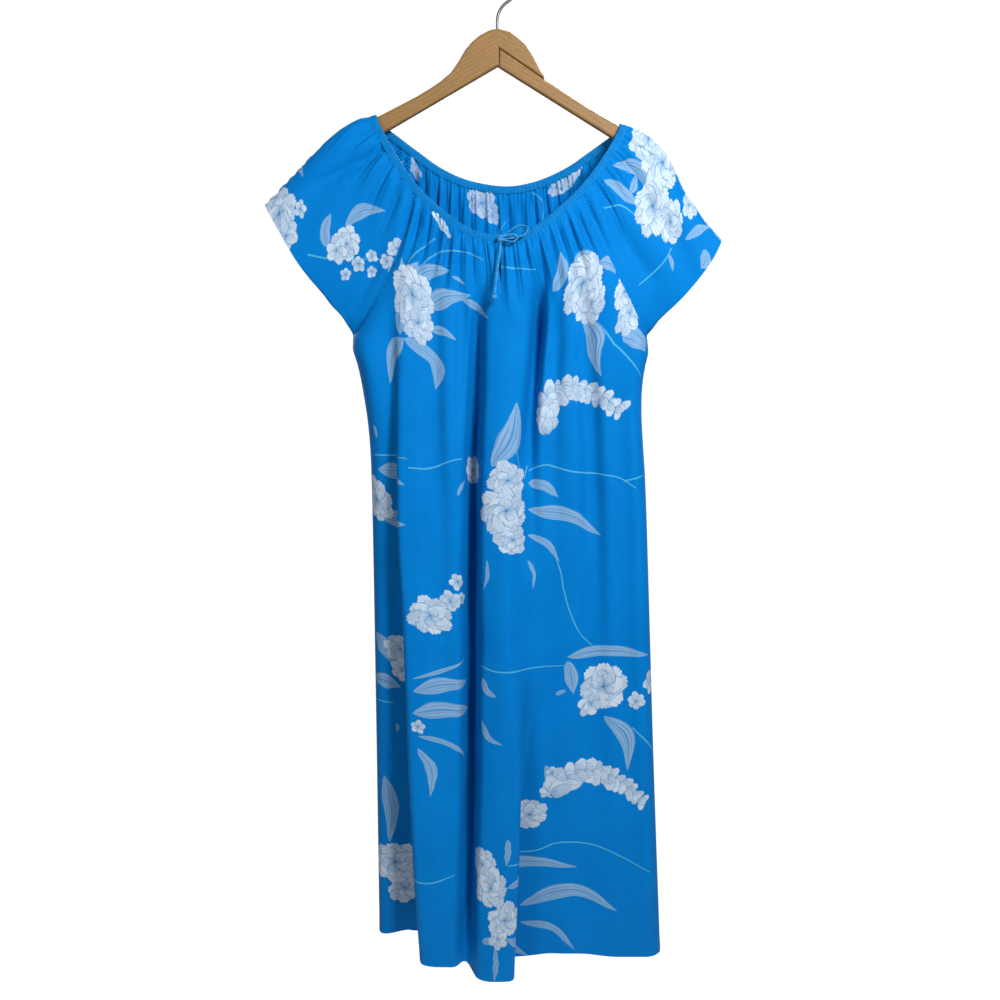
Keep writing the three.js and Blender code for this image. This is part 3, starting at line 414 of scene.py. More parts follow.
anchor_lines = {
    FRONT: anchors([(LEFT_LAP_THREAD, LEFT_LAP)] + VALLEYS[FRONT]), BACK: anchors(VALLEYS[BACK])}


def gather_height(across, count):
    wave = 0.5 - 0.5 * np.cos(2 * np.pi * count * across)
    return wave * (0.82 + 0.18 * np.sin(9.3 * across + 2.1 * np.sin(21 * across)))


def gather_strength(share, fade):
    return (0.22 + 0.78 * smooth(0.0, 0.1, share)) * (1 - smooth(0.12, fade, share))


ROW_SAMPLES = 420
PANEL_GATHER, SLEEVE_GATHER = 6.5, 5.0


def panel_row(face, zone, share, columns):
    """One row of a panel's middle surface, at even shares of its cloth."""
    even = np.linspace(0, 1, ROW_SAMPLES + 1)
    dense, plain_x = panel_points(face, even, zone, share)
    down = share_down(zone, share, RAGLAN_PART)
    lengths = run_along(dense)
    knots = [(0.0, 0.0)]
    for anchor, x_at in anchor_lines[face]:
        length = lengths[np.argmax(plain_x > x_at(dense[:, 2]))]
        natural = length / lengths[-1]
        knots.append((mix(natural, anchor, smooth(0.06, RAGLAN_PART, down)), length))
    knots.append((1.0, lengths[-1]))
    spread = np.interp(np.interp(columns, *zip(*knots)), lengths, even)
    across = mix(columns, spread, smooth(0.05, 0.22, down))
    points, _ = panel_points(face, across, zone, share)
    raglan = share if zone == "raglan" else 1.0
    strength = face * PANEL_GATHER * gather_strength(raglan, 0.62)
    points[:, 1] += strength * gather_height(columns, PANEL_GATHERS)
    return points


fold_at = {
    side: [through(SHOULDER_FOLD[side], "share", name) for name in ("x", "z")] for side in SIDES}
bow_at = {side: through(CUFF_BOW[side], "up", "bow") for side in SIDES}


def cuff_outward(side):
    """The direction in which a cuff's edge bows out, square to the edge."""
    end_x, end_z = (float(read(1.0)) for read in fold_at[side])
    run, rise = end_x - CUFF_BOTTOM[side][0], end_z - CUFF_BOTTOM[side][1]
    return unit(np.array([math.copysign(rise, run), 0.0, -abs(run)]))


cuff_out = {side: cuff_outward(side) for side in SIDES}


def sleeve_row(side, zone, share, columns):
    """One row of a sleeve's middle surface, from the front seam over the fold to the back."""
    row_share = share_down(zone, share, FOLD_PART)
    raglan = share if zone == "raglan" else 1.0
    up = np.where(columns < 0.5, 2 * columns, 2 - 2 * columns)
    points = np.zeros((len(columns), 3))
    for face, mask in ((FRONT, columns < 0.5), (BACK, columns >= 0.5)):
        lift = up[mask]

        def base(fold_share, seam):
            fold = [float(read(fold_share)) for read in fold_at[side]]
            half = mix(SLEEVE_HALF_NECK, SLEEVE_HALF_CUFF, fold_share)
            lower = abs(seam[1]) * (1 - lift) ** 1.5
            body = half * (1 - (1 - lift) ** 2.6) ** 0.8
            ridge = np.sqrt(np.maximum(0, 1 - lift**6))
            return np.stack([
                mix(seam[0], fold[0], lift),
                face * np.hypot(lower, body) * ridge,
                mix(seam[2], fold[1], lift),
            ], axis=-1)

        if zone == "raglan":
            seam = raglan_point(side, face, share)
        else:
            seam = np.array([
                mix(UNDERARM[side][0], CUFF_BOTTOM[side][0], share), 0.0,
                mix(UNDERARM[side][1], CUFF_BOTTOM[side][1], share),
            ])
        point = base(row_share, seam)
        first = base(0.0, raglan_point(side, face, 0))
        band = neck.below(neck_over_sleeve(side, columns[mask]))
        point += (band - first) * (1 - row_share) ** 2.2
        point += cuff_out[side] * (bow_at[side](lift) * smooth(0.3, 1.0, row_share))[:, None]
        for crease_face, x0, z0, x1, z1, width, depth in SLEEVE_CREASES[side]:
            if crease_face != face:
                continue
            dx, dz = x1 - x0, z1 - z0
            along = ((point[:, 0] - x0) * dx + (point[:, 2] - z0) * dz) / (dx * dx + dz * dz)
            held = clamp01(along)
            off = np.hypot(point[:, 0] - x0 - held * dx, point[:, 2] - z0 - held * dz)
            taper = np.sin(np.pi * clamp01(mix(0.08, 0.92, along)))
            dent = depth * taper * np.exp(-((off / width) ** 2))
            point[:, 1] -= face * dent * smooth(0.0, 0.15, lift) * smooth(1.0, 0.8, lift)
        points[mask] = point
    normal = neck.frame(neck_over_sleeve(side, columns))[1]
    height = SLEEVE_GATHER * gather_strength(raglan, 0.5) * gather_height(columns, SLEEVE_GATHERS)
    return points + normal * height[:, None]


# ---------------------------------------------------------------- cloth laid flat
RNG = np.random.default_rng(7)
# Down to this depth the mesh follows the gathers, this far apart
GATHERED_DEPTH, GATHER_STEP = 75.0, 1.6
# Where the cloth's top edge lies inside the band, below the band's top
TUCK_PLACE = 5.5


class Cloth:
    """A panel's middle surface as a fine grid, and the same cloth laid flat.

    Flat places are u across, from the panel's middle, and v, which is 0 at the neck band's lower
    edge, falls down the cloth, and is above 0 in the strip that is tucked into the band.
    """

    COLUMNS = 801

    def __init__(self, name, neck_share, row_of, zones):
        self.name = name
        columns = np.linspace(0, 1, self.COLUMNS)
        tucked = neck.below(neck_share(columns), TUCK_PLACE)
        rows = [row_of(zone, share, columns) for zone, shares in zones for share in shares]
        self.grid = np.array([tucked] + rows)
        across = np.linalg.norm(np.diff(self.grid, axis=1), axis=2).sum(axis=1)
        padded = np.pad(across, 4, mode="edge")
        self.width = np.convolve(padded, np.ones(9) / 9, "valid")
        down = np.median(np.linalg.norm(np.diff(self.grid, axis=0), axis=2), axis=1)
        self.v = down[0] - np.concatenate([[0], np.cumsum(down)])
        self.length = -self.v[-1]

    def set_normals(self, face):
        """Outward normals. A panel faces its face's way, and a sleeve (0) starts at the front."""
        along = np.gradient(self.grid, axis=1)
        down = np.gradient(self.grid, axis=0)
        normals = np.cross(along, down)
        size = np.linalg.norm(normals, axis=2, keepdims=True)
        normals = normals / np.maximum(size, 1e-9)
        facing = normals[..., 1] if face else normals[:, :self.COLUMNS // 2, 1]
        if np.sum(facing) * (face or -1) < 0:
            normals = -normals
        self.normals = normals

    def share_at(self, flat):
        """Row place and column place in the grid of flat points."""
        row = np.interp(-flat[:, 1], -self.v, np.arange(len(self.v)))
        width = np.interp(-flat[:, 1], -self.v, self.width)
        column = clamp01(flat[:, 0] / width + 0.5) * (self.COLUMNS - 1)
        return row, column

    def lift(self, flat):
        """Points and normals in space of flat points."""
        row, column = self.share_at(flat)
        return self.read(self.grid, row, column), unit(self.read(self.normals, row, column))

    def read(self, values, row, column):
        r = np.minimum(row.astype(int), values.shape[0] - 2)
        c = np.minimum(column.astype(int), values.shape[1] - 2)
        fr, fc = (row - r)[:, None], (column - c)[:, None]
        upper = mix(values[r, c], values[r, c + 1], fc)
        lower = mix(values[r + 1, c], values[r + 1, c + 1], fc)
        return mix(upper, lower, fr)

    def width_at(self, v):
        return np.interp(-v, -self.v, self.width)

    def outline(self, step):
        """The cut's outline, anticlockwise from the top left. Its sides keep the grid's rows, so
        that two cuts meet point by point along a seam."""
        left = np.stack([-self.width / 2, self.v], axis=1)
        right = left[::-1] * [-1, 1]
        return np.concatenate([left, self.edge(-1, step, 1), right, self.edge(0, step * 0.5, -1)])

    def edge(self, row, step, heading):
        """Points along the first or last row, between its corners."""
        half = self.width[row] / 2
        count = int(2 * half / step)
        across = heading * np.linspace(-half, half, count + 1)[1:-1]
        return np.stack([across, np.full(count - 1, self.v[row])], axis=1)

    def filling(self, step):
        """Points inside the outline: along the gathers at first, then in a triangular lattice."""
        rows, v, odd = [], self.v[0], False
        shares = np.linspace(-0.5, 0.5, int(self.width[0] / GATHER_STEP))[1:-1]
        while v > -GATHERED_DEPTH:
            v -= 2 * GATHER_STEP
            rows.append(np.stack([shares * self.width_at(v), np.full(len(shares), v)], axis=1))
        while v > self.v[-1] + 1.4 * step:
            v -= 0.87 * step
            half = self.width_at(v) / 2 - 0.5 * step
            u = np.linspace(-half, half, int(2 * half / step) + 1)
            if odd:
                u = (u[1:] + u[:-1]) / 2
            odd = not odd
            rows.append(np.stack([u, np.full(len(u), v)], axis=1))
        return np.concatenate(rows)


# ---------------------------------------------------------------- the print
# Each motif part is an outline in flat millimetres, with a place along and across itself that
# its colours follow. Petals, leaves and stems are drawn by rule.

PETAL, LEAF, STEM = 0, 1, 2


class Motif:
    def __init__(self, kind, outline, place, tone):
        self.kind, self.outline, self.place, self.tone = kind, outline, place, tone


def petal_half_width(x):
    return np.sin(np.pi * clamp01(x) ** 0.85 * 0.93) ** 0.75


def petal(centre, angle, length, width, tone):
    """A petal with a scalloped tip, standing on the flower's centre."""
    axis = np.array([math.cos(angle), math.sin(angle)])
    aside = np.array([-axis[1], axis[0]])
    x = np.array([0.04, 0.14, 0.3, 0.48, 0.66, 0.82, 0.91])
    half = petal_half_width(x) * width / 2
    side = np.stack([x * length, half], axis=1)
    tip = half[-1] * np.array([0.62, 0.3, 0.0, -0.3, -0.62])
    reach = length * np.array([1.0, 0.95, 1.02, 0.94, 0.99])
    points = np.concatenate([side, np.stack([reach, tip], axis=1), side[::-1] * [1, -1]])
    outline = centre + points[:, :1] * axis + points[:, 1:] * aside

    def place(flat):
        local = flat - centre
        t = local @ axis / length
        half_here = np.maximum(petal_half_width(np.clip(t, 0.03, 0.93)) * width / 2, 0.5)
        return np.stack([np.clip(local @ aside / half_here, -1, 1), clamp01(t)], axis=1)

    return Motif(PETAL, outline[::-1], place, tone)


def flower(u, v, radius):
    """A full double flower: three rings of petals, the inner rings shorter."""
    centre = np.array([u, v], dtype=float)
    rings = [(8, 1.0, 0.9), (7, 0.76, 0.74), (5, 0.5, 0.56)]
    if radius < 20:
        rings = [(6, 1.0, 0.9), (5, 0.6, 0.6)]
    if radius < 12:
        rings = [(5, 1.0, 0.95)]
    parts = []
    turn = RNG.uniform(0, math.tau)
    for ring, (count, reach, width) in enumerate(rings):
        for k in range(count):
            angle = turn + math.tau * (k + 0.5 * ring + RNG.uniform(-0.12, 0.12)) / count
            length = radius * reach * RNG.uniform(0.86, 1.12)
            parts.append(petal(centre, angle, length, radius * width, RNG.uniform(0, 1)))
    return parts


def along_curve(points, count):
    """Even places and directions on a smooth curve through a few points."""
    points = np.array(points, dtype=float)
    rows = {"t": np.arange(len(points), dtype=float), "u": points[:, 0], "v": points[:, 1]}
    readers = through(rows, "t", "u"), through(rows, "t", "v")
    fine = np.linspace(0, len(points) - 1, 60)
    lengths = run_along(np.stack([read(fine) for read in readers], axis=1))
    at = np.interp(np.linspace(0, lengths[-1], count), lengths, fine)
    spine = np.stack([read(at) for read in readers], axis=1)
    return spine, unit(np.gradient(spine, axis=0)), lengths[-1]


def strip(kind, spine, ahead, half, tone):
    """A leaf or a stem: a spine with a half width at each of its places."""
    aside = np.stack([-ahead[:, 1], ahead[:, 0]], axis=1)
    left, right = spine + aside * half[:, None], spine - aside * half[:, None]
    outline = np.concatenate([right, left[::-1]])
    share = np.linspace(0, 1, len(spine))

    def place(flat):
        away = flat[:, None, :] - spine[None]
        near = np.argmin(np.sum(away**2, axis=2), axis=1)
        index = np.arange(len(flat))
        offset = np.sum(away[index, near] * aside[near], axis=1)
        t = share[near] + np.sum(away[index, near] * ahead[near], axis=1) / (
            len(spine) * np.linalg.norm(spine[1] - spine[0]))
        across = np.clip(offset / np.maximum(half[near], 0.4), -1, 1)
        return np.stack([across, clamp01(t)], axis=1)

    return Motif(kind, outline, place, tone)


def leaf(u0, v0, u1, v1, bend, width):
    """A long pointed leaf, bowed to one side, widest before its middle."""
    start, end = np.array([u0, v0], float), np.array([u1, v1], float)
    ahead = end - start
    aside = np.array([-ahead[1], ahead[0]]) / np.linalg.norm(ahead)
    spine, direction, _ = along_curve([start, mix(start, end, 0.5) + aside * bend, end], 17)
    t = np.linspace(0, 1, 17)
    half = 0.6 * width * np.maximum(np.sin(np.pi * t**0.8) ** 0.85, 0.04)
    half *= 1 + 0.1 * np.sin(9 * t + bend)
    return strip(LEAF, spine, direction, half, RNG.uniform(0, 1))


def stem(points, width=2.0):
    count = max(8, 6 * len(points))
    spine, direction, _ = along_curve(points, count)
    half = width / 2 * (1 - 0.45 * np.linspace(0, 1, count) ** 3)
    return strip(STEM, spine, direction, half, RNG.uniform(0, 1))


def spray(points, size):
    """A drooping spike of pointed petals, in overlapping pairs along a stem."""
    _, _, length = along_curve(points, 20)
    count = max(5, int(length / (0.85 * size)))
    spine, direction, _ = along_curve(points, count)
    parts = [stem(points, 1.6)]
    for k in reversed(range(count)):
        heading = math.atan2(direction[k][1], direction[k][0])
        grown = size * mix(1.85, 1.0, k / count)
        for lean in (0.95, -0.95, 0.25, -0.3):
            angle = heading + lean + RNG.uniform(-0.18, 0.18)
            foot = spine[k] - direction[k] * grown * (0.5 if abs(lean) < 0.5 else 0.1)
            long = grown * RNG.uniform(0.85, 1.15)
            parts.append(petal(foot, angle, long, long * RNG.uniform(0.66, 0.9),
                               RNG.uniform(0, 1)))
    return parts


def bouquet(u, v, turn, size, kind):
    """Flowers, leaves and a tendril, for the cloth that the photograph doesn't show."""
    def at(x, y):
        c, s = math.cos(turn), math.sin(turn)
        return u + size * (c * x - s * y), v + size * (s * x + c * y)

    stems = [stem([at(20, 14), at(62, 30), at(110, 16), at(160, 34)])]
    leaves = [leaf(*at(22, -8), *at(112, -30), 12 * size, 17 * size),
              leaf(*at(20, 6), *at(96, 14), -8 * size, 14 * size),
              leaf(*at(-6, -20), *at(-26, -84), 12 * size, 18 * size)]
    flowers = flower(*at(6, 8), 33 * size) + flower(*at(-24, -16), 24 * size)
    if kind == 0:
        leaves += [leaf(*at(10, -22), *at(52, -74), 10 * size, 10 * size),
                   leaf(*at(-30, 6), *at(-88, -6), -7 * size, 13 * size)]
        flowers += flower(*at(-34, 20), 14 * size) + flower(*at(-50, 34), 9 * size)
    buds = []
    if kind == 1:
        buds = spray([at(-28, 18), at(-62, 34), at(-98, 34), at(-132, 12)], 13 * size)
        stems += [stem([at(0, -20), at(10, -66), at(-4, -110), at(14, -150)])]
    return stems + leaves + flowers + buds


# Flowers (u, v, radius), leaves (u0, v0, u1, v1, bend, width), stems (places), and sprays
# (places, bud size)
PRINTS = {
    "dress_front": dict(
        flowers=[
            (-137, -103, 34), (-127, -131, 22), (-83, -3, 12), (-77, -9, 8), (119, -83, 34),
            (143, -109, 24), (202, -114, 24), (208, -139, 22), (80, -232, 12), (19, -309, 25),
            (20, -348, 32), (29, -386, 22), (-43, -303, 20), (-221, -370, 28), (-118, -498, 26),
            (-93, -475, 14), (-83, -448, 11), (-77, -470, 9), (-212, -559, 20), (-214, -587, 16),
            (-139, -643, 9), (179, -593, 34), (163, -615, 18), (224, -615, 12), (248, -593, 16),
            (100, -762, 22), (118, -728, 12), (120, -705, 10), (-257, -854, 30), (-247, -895, 22),
            (-7, -813, 22), (4, -842, 26), (25, -883, 24), (15, -906, 14),
        ],
        leaves=[
            (-138, -95, -73, -54, 6, 15), (-120, -112, -44, -74, 5, 16),
            (-58, -83, -21, -100, 5, 9), (-137, -97, -124, -65, 3, 12),
            (-145, -153, -181, -216, -14, 14), (-145, -153, -113, -205, 20, 18),
            (-111, -134, -76, -136, 5, 9), (-69, -60, -50, -63, 2, 4),
            (-149, -150, -152, -71, 1, 20), (69, -74, 92, -36, -6, 18),
            (132, -123, 179, -199, 10, 17), (104, -57, 147, -71, 6, 16),
            (145, -71, 178, -92, 4, 10), (201, -161, 233, -188, 3, 12),
            (209, -156, 235, -183, 2, 12), (0, -292, 22, -210, -9, 24),
            (52, -314, 100, -336, 7, 12), (53, -348, 168, -397, 12, 15),
            (53, -381, 104, -420, 8, 8), (-81, -336, -69, -314, 2, 4),
            (-212, -331, -142, -336, 5, 16), (-218, -386, -142, -386, -4, 20),
            (-212, -276, -209, -292, 1, 5), (-244, -543, -224, -582, 4, 18),
            (-256, -604, -218, -610, 3, 16), (-144, -582, -71, -548, -3, 4),
            (-142, -598, -64, -582, 5, 16), (-145, -626, -56, -621, 6, 18),
            (-141, -655, -68, -683, 7, 6), (-141, -671, -129, -733, 10, 12),
            (-231, -660, -232, -671, 1, 4), (-4, -570, 15, -593, -6, 8),
            (-6, -626, 24, -655, -8, 7), (-1, -414, -4, -453, 3, 4), (54, -414, 65, -453, 6, 5),
            (124, -548, 240, -559, 7, 13), (124, -554, 136, -598, 2, 16),
            (112, -598, 126, -593, 1, 5), (182, -632, 219, -705, 16, 17),
            (110, -694, 124, -733, 3, 12), (-257, -733, -261, -825, 5, 16),
            (-233, -773, -159, -767, 1, 6), (28, -842, 160, -836, 12, 15),
            (97, -889, 212, -895, 24, 16), (98, -912, 160, -954, 12, 8), (30, -779, 27, -813, 1, 8),
            (-9, -912, 16, -906, 1, 8), (25, -906, 109, -960, 4, 14), (10, -918, 7, -960, 2, 7),
        ],
        stems=[
            ((-139, -71), (-125, -51), (-106, -27)),
            ((-121, -71), (-100, -45), (-77, -30), (-46, -21), (-24, -24)),
            ((0, -30), (29, -33), (49, -39)), ((170, -145), (202, -177), (227, -216)),
            ((15, -248), (27, -270), (39, -298)), ((50, -292), (46, -309)),
            ((53, -298), (79, -292), (98, -298),
             (126, -309), (167, -320), (193, -331), (213, -348)),
            ((198, -336), (227, -336)),
            ((60, -381), (86, -397), (103, -425),
             (113, -459), (125, -492), (141, -520), (167, -543)),
            ((-218, -314), (-148, -303), (-140, -303)),
            ((-138, -314), (-113, -309), (-88, -292), (-75, -287)), ((-257, -632), (-230, -632)),
            ((-10, -554), (12, -559), (38, -559), (86, -559), (121, -559)),
            ((221, -649), (240, -666), (262, -688)), ((-161, -848), (-134, -848), (-96, -836)),
            ((30, -813), (105, -813), (135, -802), (163, -802), (202, -813), (258, -842)),
        ],
        sprays=[
            (((85, -243), (94, -210), (137, -205), (173, -226), (196, -248)), 13),
            (((128, -728), (140, -711), (168, -705), (203, -716), (242, -745)), 12),
        ],
    ),
    "sleeve_left": dict(
        flowers=[
            (-118, -117, 22), (-115, -133, 16), (-148, -117, 10), (-152, -96, 9), (-169, -83, 10),
            (-163, -60, 14), (-167, -108, 8), (-146, -139, 8), (-26, -182, 28), (-54, -185, 18),
            (-43, -152, 10),
        ],
        leaves=[
            (-101, -105, -118, -45, -9, 14), (-104, -142, -77, -114, -6, 14),
            (-181, -89, -171, -71, 2, 8),
        ],
        stems=[((-93, -170), (-118, -145), (-145, -111), (-173, -74))],
    ),
    "sleeve_right": dict(
        flowers=[
            (-16, -68, 36), (-10, -32, 26), (-59, -87, 32), (-48, -124, 24), (-10, -140, 16),
        ],
        leaves=[
            (-52, -6, -51, -71, 6, 14), (-72, -9, -75, -68, -5, 12), (-53, -41, -77, -47, 3, 10),
            (-29, -187, -51, -190, 2, 10), (-45, -155, -1, -185, 3, 9),
            (-77, -143, -86, -161, 2, 6),
        ],
        stems=[
            ((-68, -143), (-88, -143), (-114, -137), (-136, -130)),
            ((-107, -29), (-92, -47), (-85, -74)),
        ],
    ),
    "dress_back": dict(
        flowers=[
            (-29, -14, 22), (-15, -28, 12), (91, 0, 20), (76, -5, 12), (-136, -5, 16),
        ],
        leaves=[(-47, -5, -34, -28, 3, 12), (66, -5, 112, 0, 3, 12)],
    ),
}
# Bouquets of the cloth that the photograph doesn't show: u, v, turn, size, kind
HIDDEN_BOUQUETS = {
    "dress_back": [
        (-104, -128, 0.5, 0.9, 0), (98, -104, 3.6, 0.85, 1), (36, -262, 5.9, 0.95, 0),
        (-118, -372, 0.1, 1.0, 1), (112, -440, 2.7, 1.0, 0), (-26, -540, 3.5, 1.0, 1),
        (-128, -676, 0.4, 0.95, 0), (96, -700, 2.9, 1.0, 1), (-60, -850, 6.0, 1.05, 1),
        (128, -900, 3.9, 0.95, 0),
    ],
    "sleeve_left": [(96, -72, 3.4, 0.75, 0), (40, -150, 5.8, 0.7, 0)],
    "sleeve_right": [(70, -96, 0.4, 0.75, 0)],
}


# ---------------------------------------------------------------- camera and tie end
scene = bpy.context.scene

camera_data = bpy.data.cameras.new("camera")
camera_data.lens = FOCAL_LENGTH
camera_data.sensor_width = 36.0
camera = bpy.data.objects.new("camera", camera_data)
camera.location = CAMERA_PLACE
camera.rotation_euler = (math.radians(90 - CAMERA_DOWN), 0.0, 0.0)
scene.collection.objects.link(camera)
scene.camera = camera


def new_mesh(name, vertices, faces, normals=None):
    mesh = bpy.data.meshes.new(name)
    mesh.from_pydata(np.asarray(vertices).tolist(), [], [list(map(int, f)) for f in faces])
    mesh.update()
    mesh.polygons.foreach_set("use_smooth", [True] * len(mesh.polygons))
    if normals is not None:
        mesh.normals_split_custom_set_from_vertices(np.asarray(normals).tolist())
    piece = bpy.data.objects.new(name, mesh)
    scene.collection.objects.link(piece)
    return piece


def set_uv(piece, name, of_vertices):
    layer = piece.data.uv_layers.new(name=name)
    index = np.zeros(len(piece.data.loops), dtype=np.int64)
    piece.data.loops.foreach_get("vertex_index", index)
    layer.data.foreach_set("uv", np.asarray(of_vertices)[index].astype(np.float32).ravel())


def centripetal(points, count):
    """Even places along a smooth curve through 3-D points."""
    points = np.array(points, dtype=float)
    ends = np.concatenate([[2 * points[0] - points[1]], points, [2 * points[-1] - points[-2]]])
    curve = []
    for places in zip(ends[:-3], ends[1:-2], ends[2:-1], ends[3:]):
        knots = [0.0]
        for a, b in zip(places[:-1], places[1:]):
            knots.append(knots[-1] + max(np.linalg.norm(b - a), 1e-6) ** 0.5)
        for t in np.linspace(knots[1], knots[2], 24, endpoint=False):
            level = places
            for spans in (((0, 1), (1, 2), (2, 3)), ((0, 2), (1, 3)), ((1, 2),)):
                level = [
                    (knots[j] - t) / (knots[j] - knots[i]) * level[k]
                    + (t - knots[i]) / (knots[j] - knots[i]) * level[k + 1]
                    for k, (i, j) in enumerate(spans)
                ]
            curve.append(level[0])
    curve = np.array(curve + [points[-1]])
    lengths = run_along(curve)
    even = np.linspace(0, lengths[-1], count)
    return np.stack([np.interp(even, lengths, curve[:, k]) for k in range(3)], axis=1)


def tube(name, spine, section_at, sides):
    """A loft along a spine. section_at(station, angle) gives offsets across and outwards."""
    spine = np.asarray(spine, dtype=float)
    count = len(spine)
    ahead = unit(np.gradient(spine, axis=0))
    out = np.zeros_like(spine)
    previous = np.array([0.0, -1.0, 0.0])
    for i in range(count):
        flat = previous - ahead[i] * np.dot(previous, ahead[i])
        previous = out[i] = flat / np.linalg.norm(flat)
    across = np.cross(ahead, out)
    angles = np.linspace(0, 2 * np.pi, sides, endpoint=False)
    a, o = section_at(np.arange(count)[:, None], angles[None, :])
    points = spine[:, None] + across[:, None] * a[..., None] + out[:, None] * o[..., None]
    return loft(name, points)


def loft(name, points, uv=None):
    """A smooth skin over rings of points in millimetres, with its ends closed."""
    count, sides = points.shape[:2]
    first_middle, last_ring = count * sides, (count - 1) * sides
    faces = [
        (i * sides + k, i * sides + (k + 1) % sides, (i + 1) * sides + (k + 1) % sides,
         (i + 1) * sides + k)
        for i in range(count - 1) for k in range(sides)
    ]
    for k in range(sides):
        n = (k + 1) % sides
        faces += [(first_middle, n, k), (first_middle + 1, last_ring + k, last_ring + n)]
    middle = points.mean(axis=1)
    if uv is None:
        ring = run_along(middle)
        uv = np.stack([np.repeat(ring, sides), np.tile(np.arange(sides) / sides, count)], axis=1)
        uv = np.concatenate([uv, [[ring[0], 0.5], [ring[-1], 0.5]]]) / [1000, 1]
    vertices = np.concatenate([points.reshape(-1, 3), middle[[0, -1]]])
    piece = new_mesh(name, vertices / 1000, faces)
    set_uv(piece, "flat", uv)
    return piece


def lump(name, centre, half, turns, lean, groove):
    """A tied knot: a rounded lump with the grooves of the cloth wound round it."""
    rings, sides = 26, 36
    polar = np.linspace(0.06, np.pi - 0.06, rings)[:, None]
    angle = np.linspace(0, 2 * np.pi, sides, endpoint=False)[None, :]
    wind = polar * lean + angle
    radius = 1 - groove * np.abs(np.cos(turns * 0.5 * wind)) ** 6
    radius = radius * (1 - 0.05 * np.sin(3 * angle + 5 * polar))
    points = np.stack([
        radius * np.sin(polar) * np.cos(angle), radius * np.sin(polar) * np.sin(angle),
        radius * np.cos(polar) * np.ones_like(angle),
    ], axis=-1) * np.array(half) + np.array(centre)
    return loft(name, points[::-1])


TIE_ROUTE = [
    (0.5, -44.3, -335.95), (0, -46.4, -344), (-1.5, -48.2, -356),
    (-3.5, -49, -370), (-5, -49.4, -384), (-6.5, -49.6, -398),
]
TIE_RADIUS = 1.5
tie_path = centripetal(TIE_ROUTE, 40)


def tie_section(station, angle):
    crease = 1 - 0.16 * np.exp(-((np.cos(angle - 1.2) - 1) / 0.06) ** 2)
    swell = 1 + 0.06 * np.sin(station * 1.9 + 2 * angle) + 0.04 * np.sin(station * 0.7)
    return TIE_RADIUS * swell * crease * np.cos(angle), 0.92 * TIE_RADIUS * swell * np.sin(angle)


tie = tube("tie_cord", tie_path, tie_section, 20)
tip_knot = lump("tie_tip", (-6.9, -49.6, -401.96), (3.9, 3.1, 3.5), 4, 1.3, 0.2)
for piece, node in ((tie, "tie_end"), (tip_knot, "tie_tip_knot")):
    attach(piece, "root")
    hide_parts(node)
tie_length = float(run_along(tie_path)[-1]) / 1000


# ---------------------------------------------------------------- the four printed cuts
def wander(u, v, waves):
    return sum(a * np.sin(u * ku + v * kv + p) for a, ku, kv, p in waves)


# How far a cut's outer columns reach past the seam
SEAM_OVERLAP = 0.4
# A cut's mesh step, the cloth's half thickness, the hem's, and the hem's height
CLOTH_STEP, HALF_CLOTH, HALF_HEM, HEM_HEIGHT = 5.0, 0.35, 0.6, 12.0
# How far down the puckers under the band fade out
PUCKER_REACH = 48
# The dip along a seam: its depth, its distance from the edge and its half width
PULL, PULL_PLACE, PULL_HALF = 0.7, 2.6, 2.2
# Wrinkles: height, waves across, waves down, phase
WRINKLES = [
    (RNG.uniform(0.12, 0.3), RNG.uniform(-0.16, 0.16), RNG.uniform(-0.05, 0.05),
     RNG.uniform(0, math.tau)) for _ in range(14)
]


def finish_grid(cloth, puckers, height, face):
    """Adds the puckers under the band, soft wrinkles and pulled seams to a cloth's grid."""
    columns = np.linspace(0, 1, cloth.COLUMNS)[None, :]
    depth = -cloth.v[:, None]
    u = (columns - 0.5) * cloth.width[:, None]
    from_edge = cloth.width[:, None] / 2 - np.abs(u)
    cloth.set_normals(face)
    phase = 2 * np.pi * puckers * columns
    phase = phase + 1.3 * np.sin(phase / 5.3 + 0.9) + 0.8 * np.sin(depth / 17 + 19 * columns)
    fade = np.exp(-((np.maximum(depth, 0) / PUCKER_REACH) ** 1.3))
    fade = fade * smooth(-5, 2, depth)
    lift = height * fade * (0.7 + 0.3 * np.sin(phase / 3.1)) * np.sin(phase)
    calm = smooth(3, 26, from_edge)
    lift = lift * (0.4 + 0.6 * calm)
    lift = lift + wander(u, -depth, WRINKLES) * calm * smooth(30, 120, depth)
    pulled = np.exp(-(((from_edge - PULL_PLACE) / PULL_HALF) ** 2))
    pulled = pulled * (1 + 0.15 * np.sin(depth * 0.7))
    lift = (lift - PULL * pulled) * smooth(0, 2.4, from_edge)
    cloth.grid = cloth.grid + cloth.normals * lift[..., None]
    for edge, beside in ((0, 1), (-1, -2)):
        outward = unit(cloth.grid[:, edge] - cloth.grid[:, beside] + 1e-9)
        cloth.grid[:, edge] += SEAM_OVERLAP * outward
    cloth.set_normals(face)


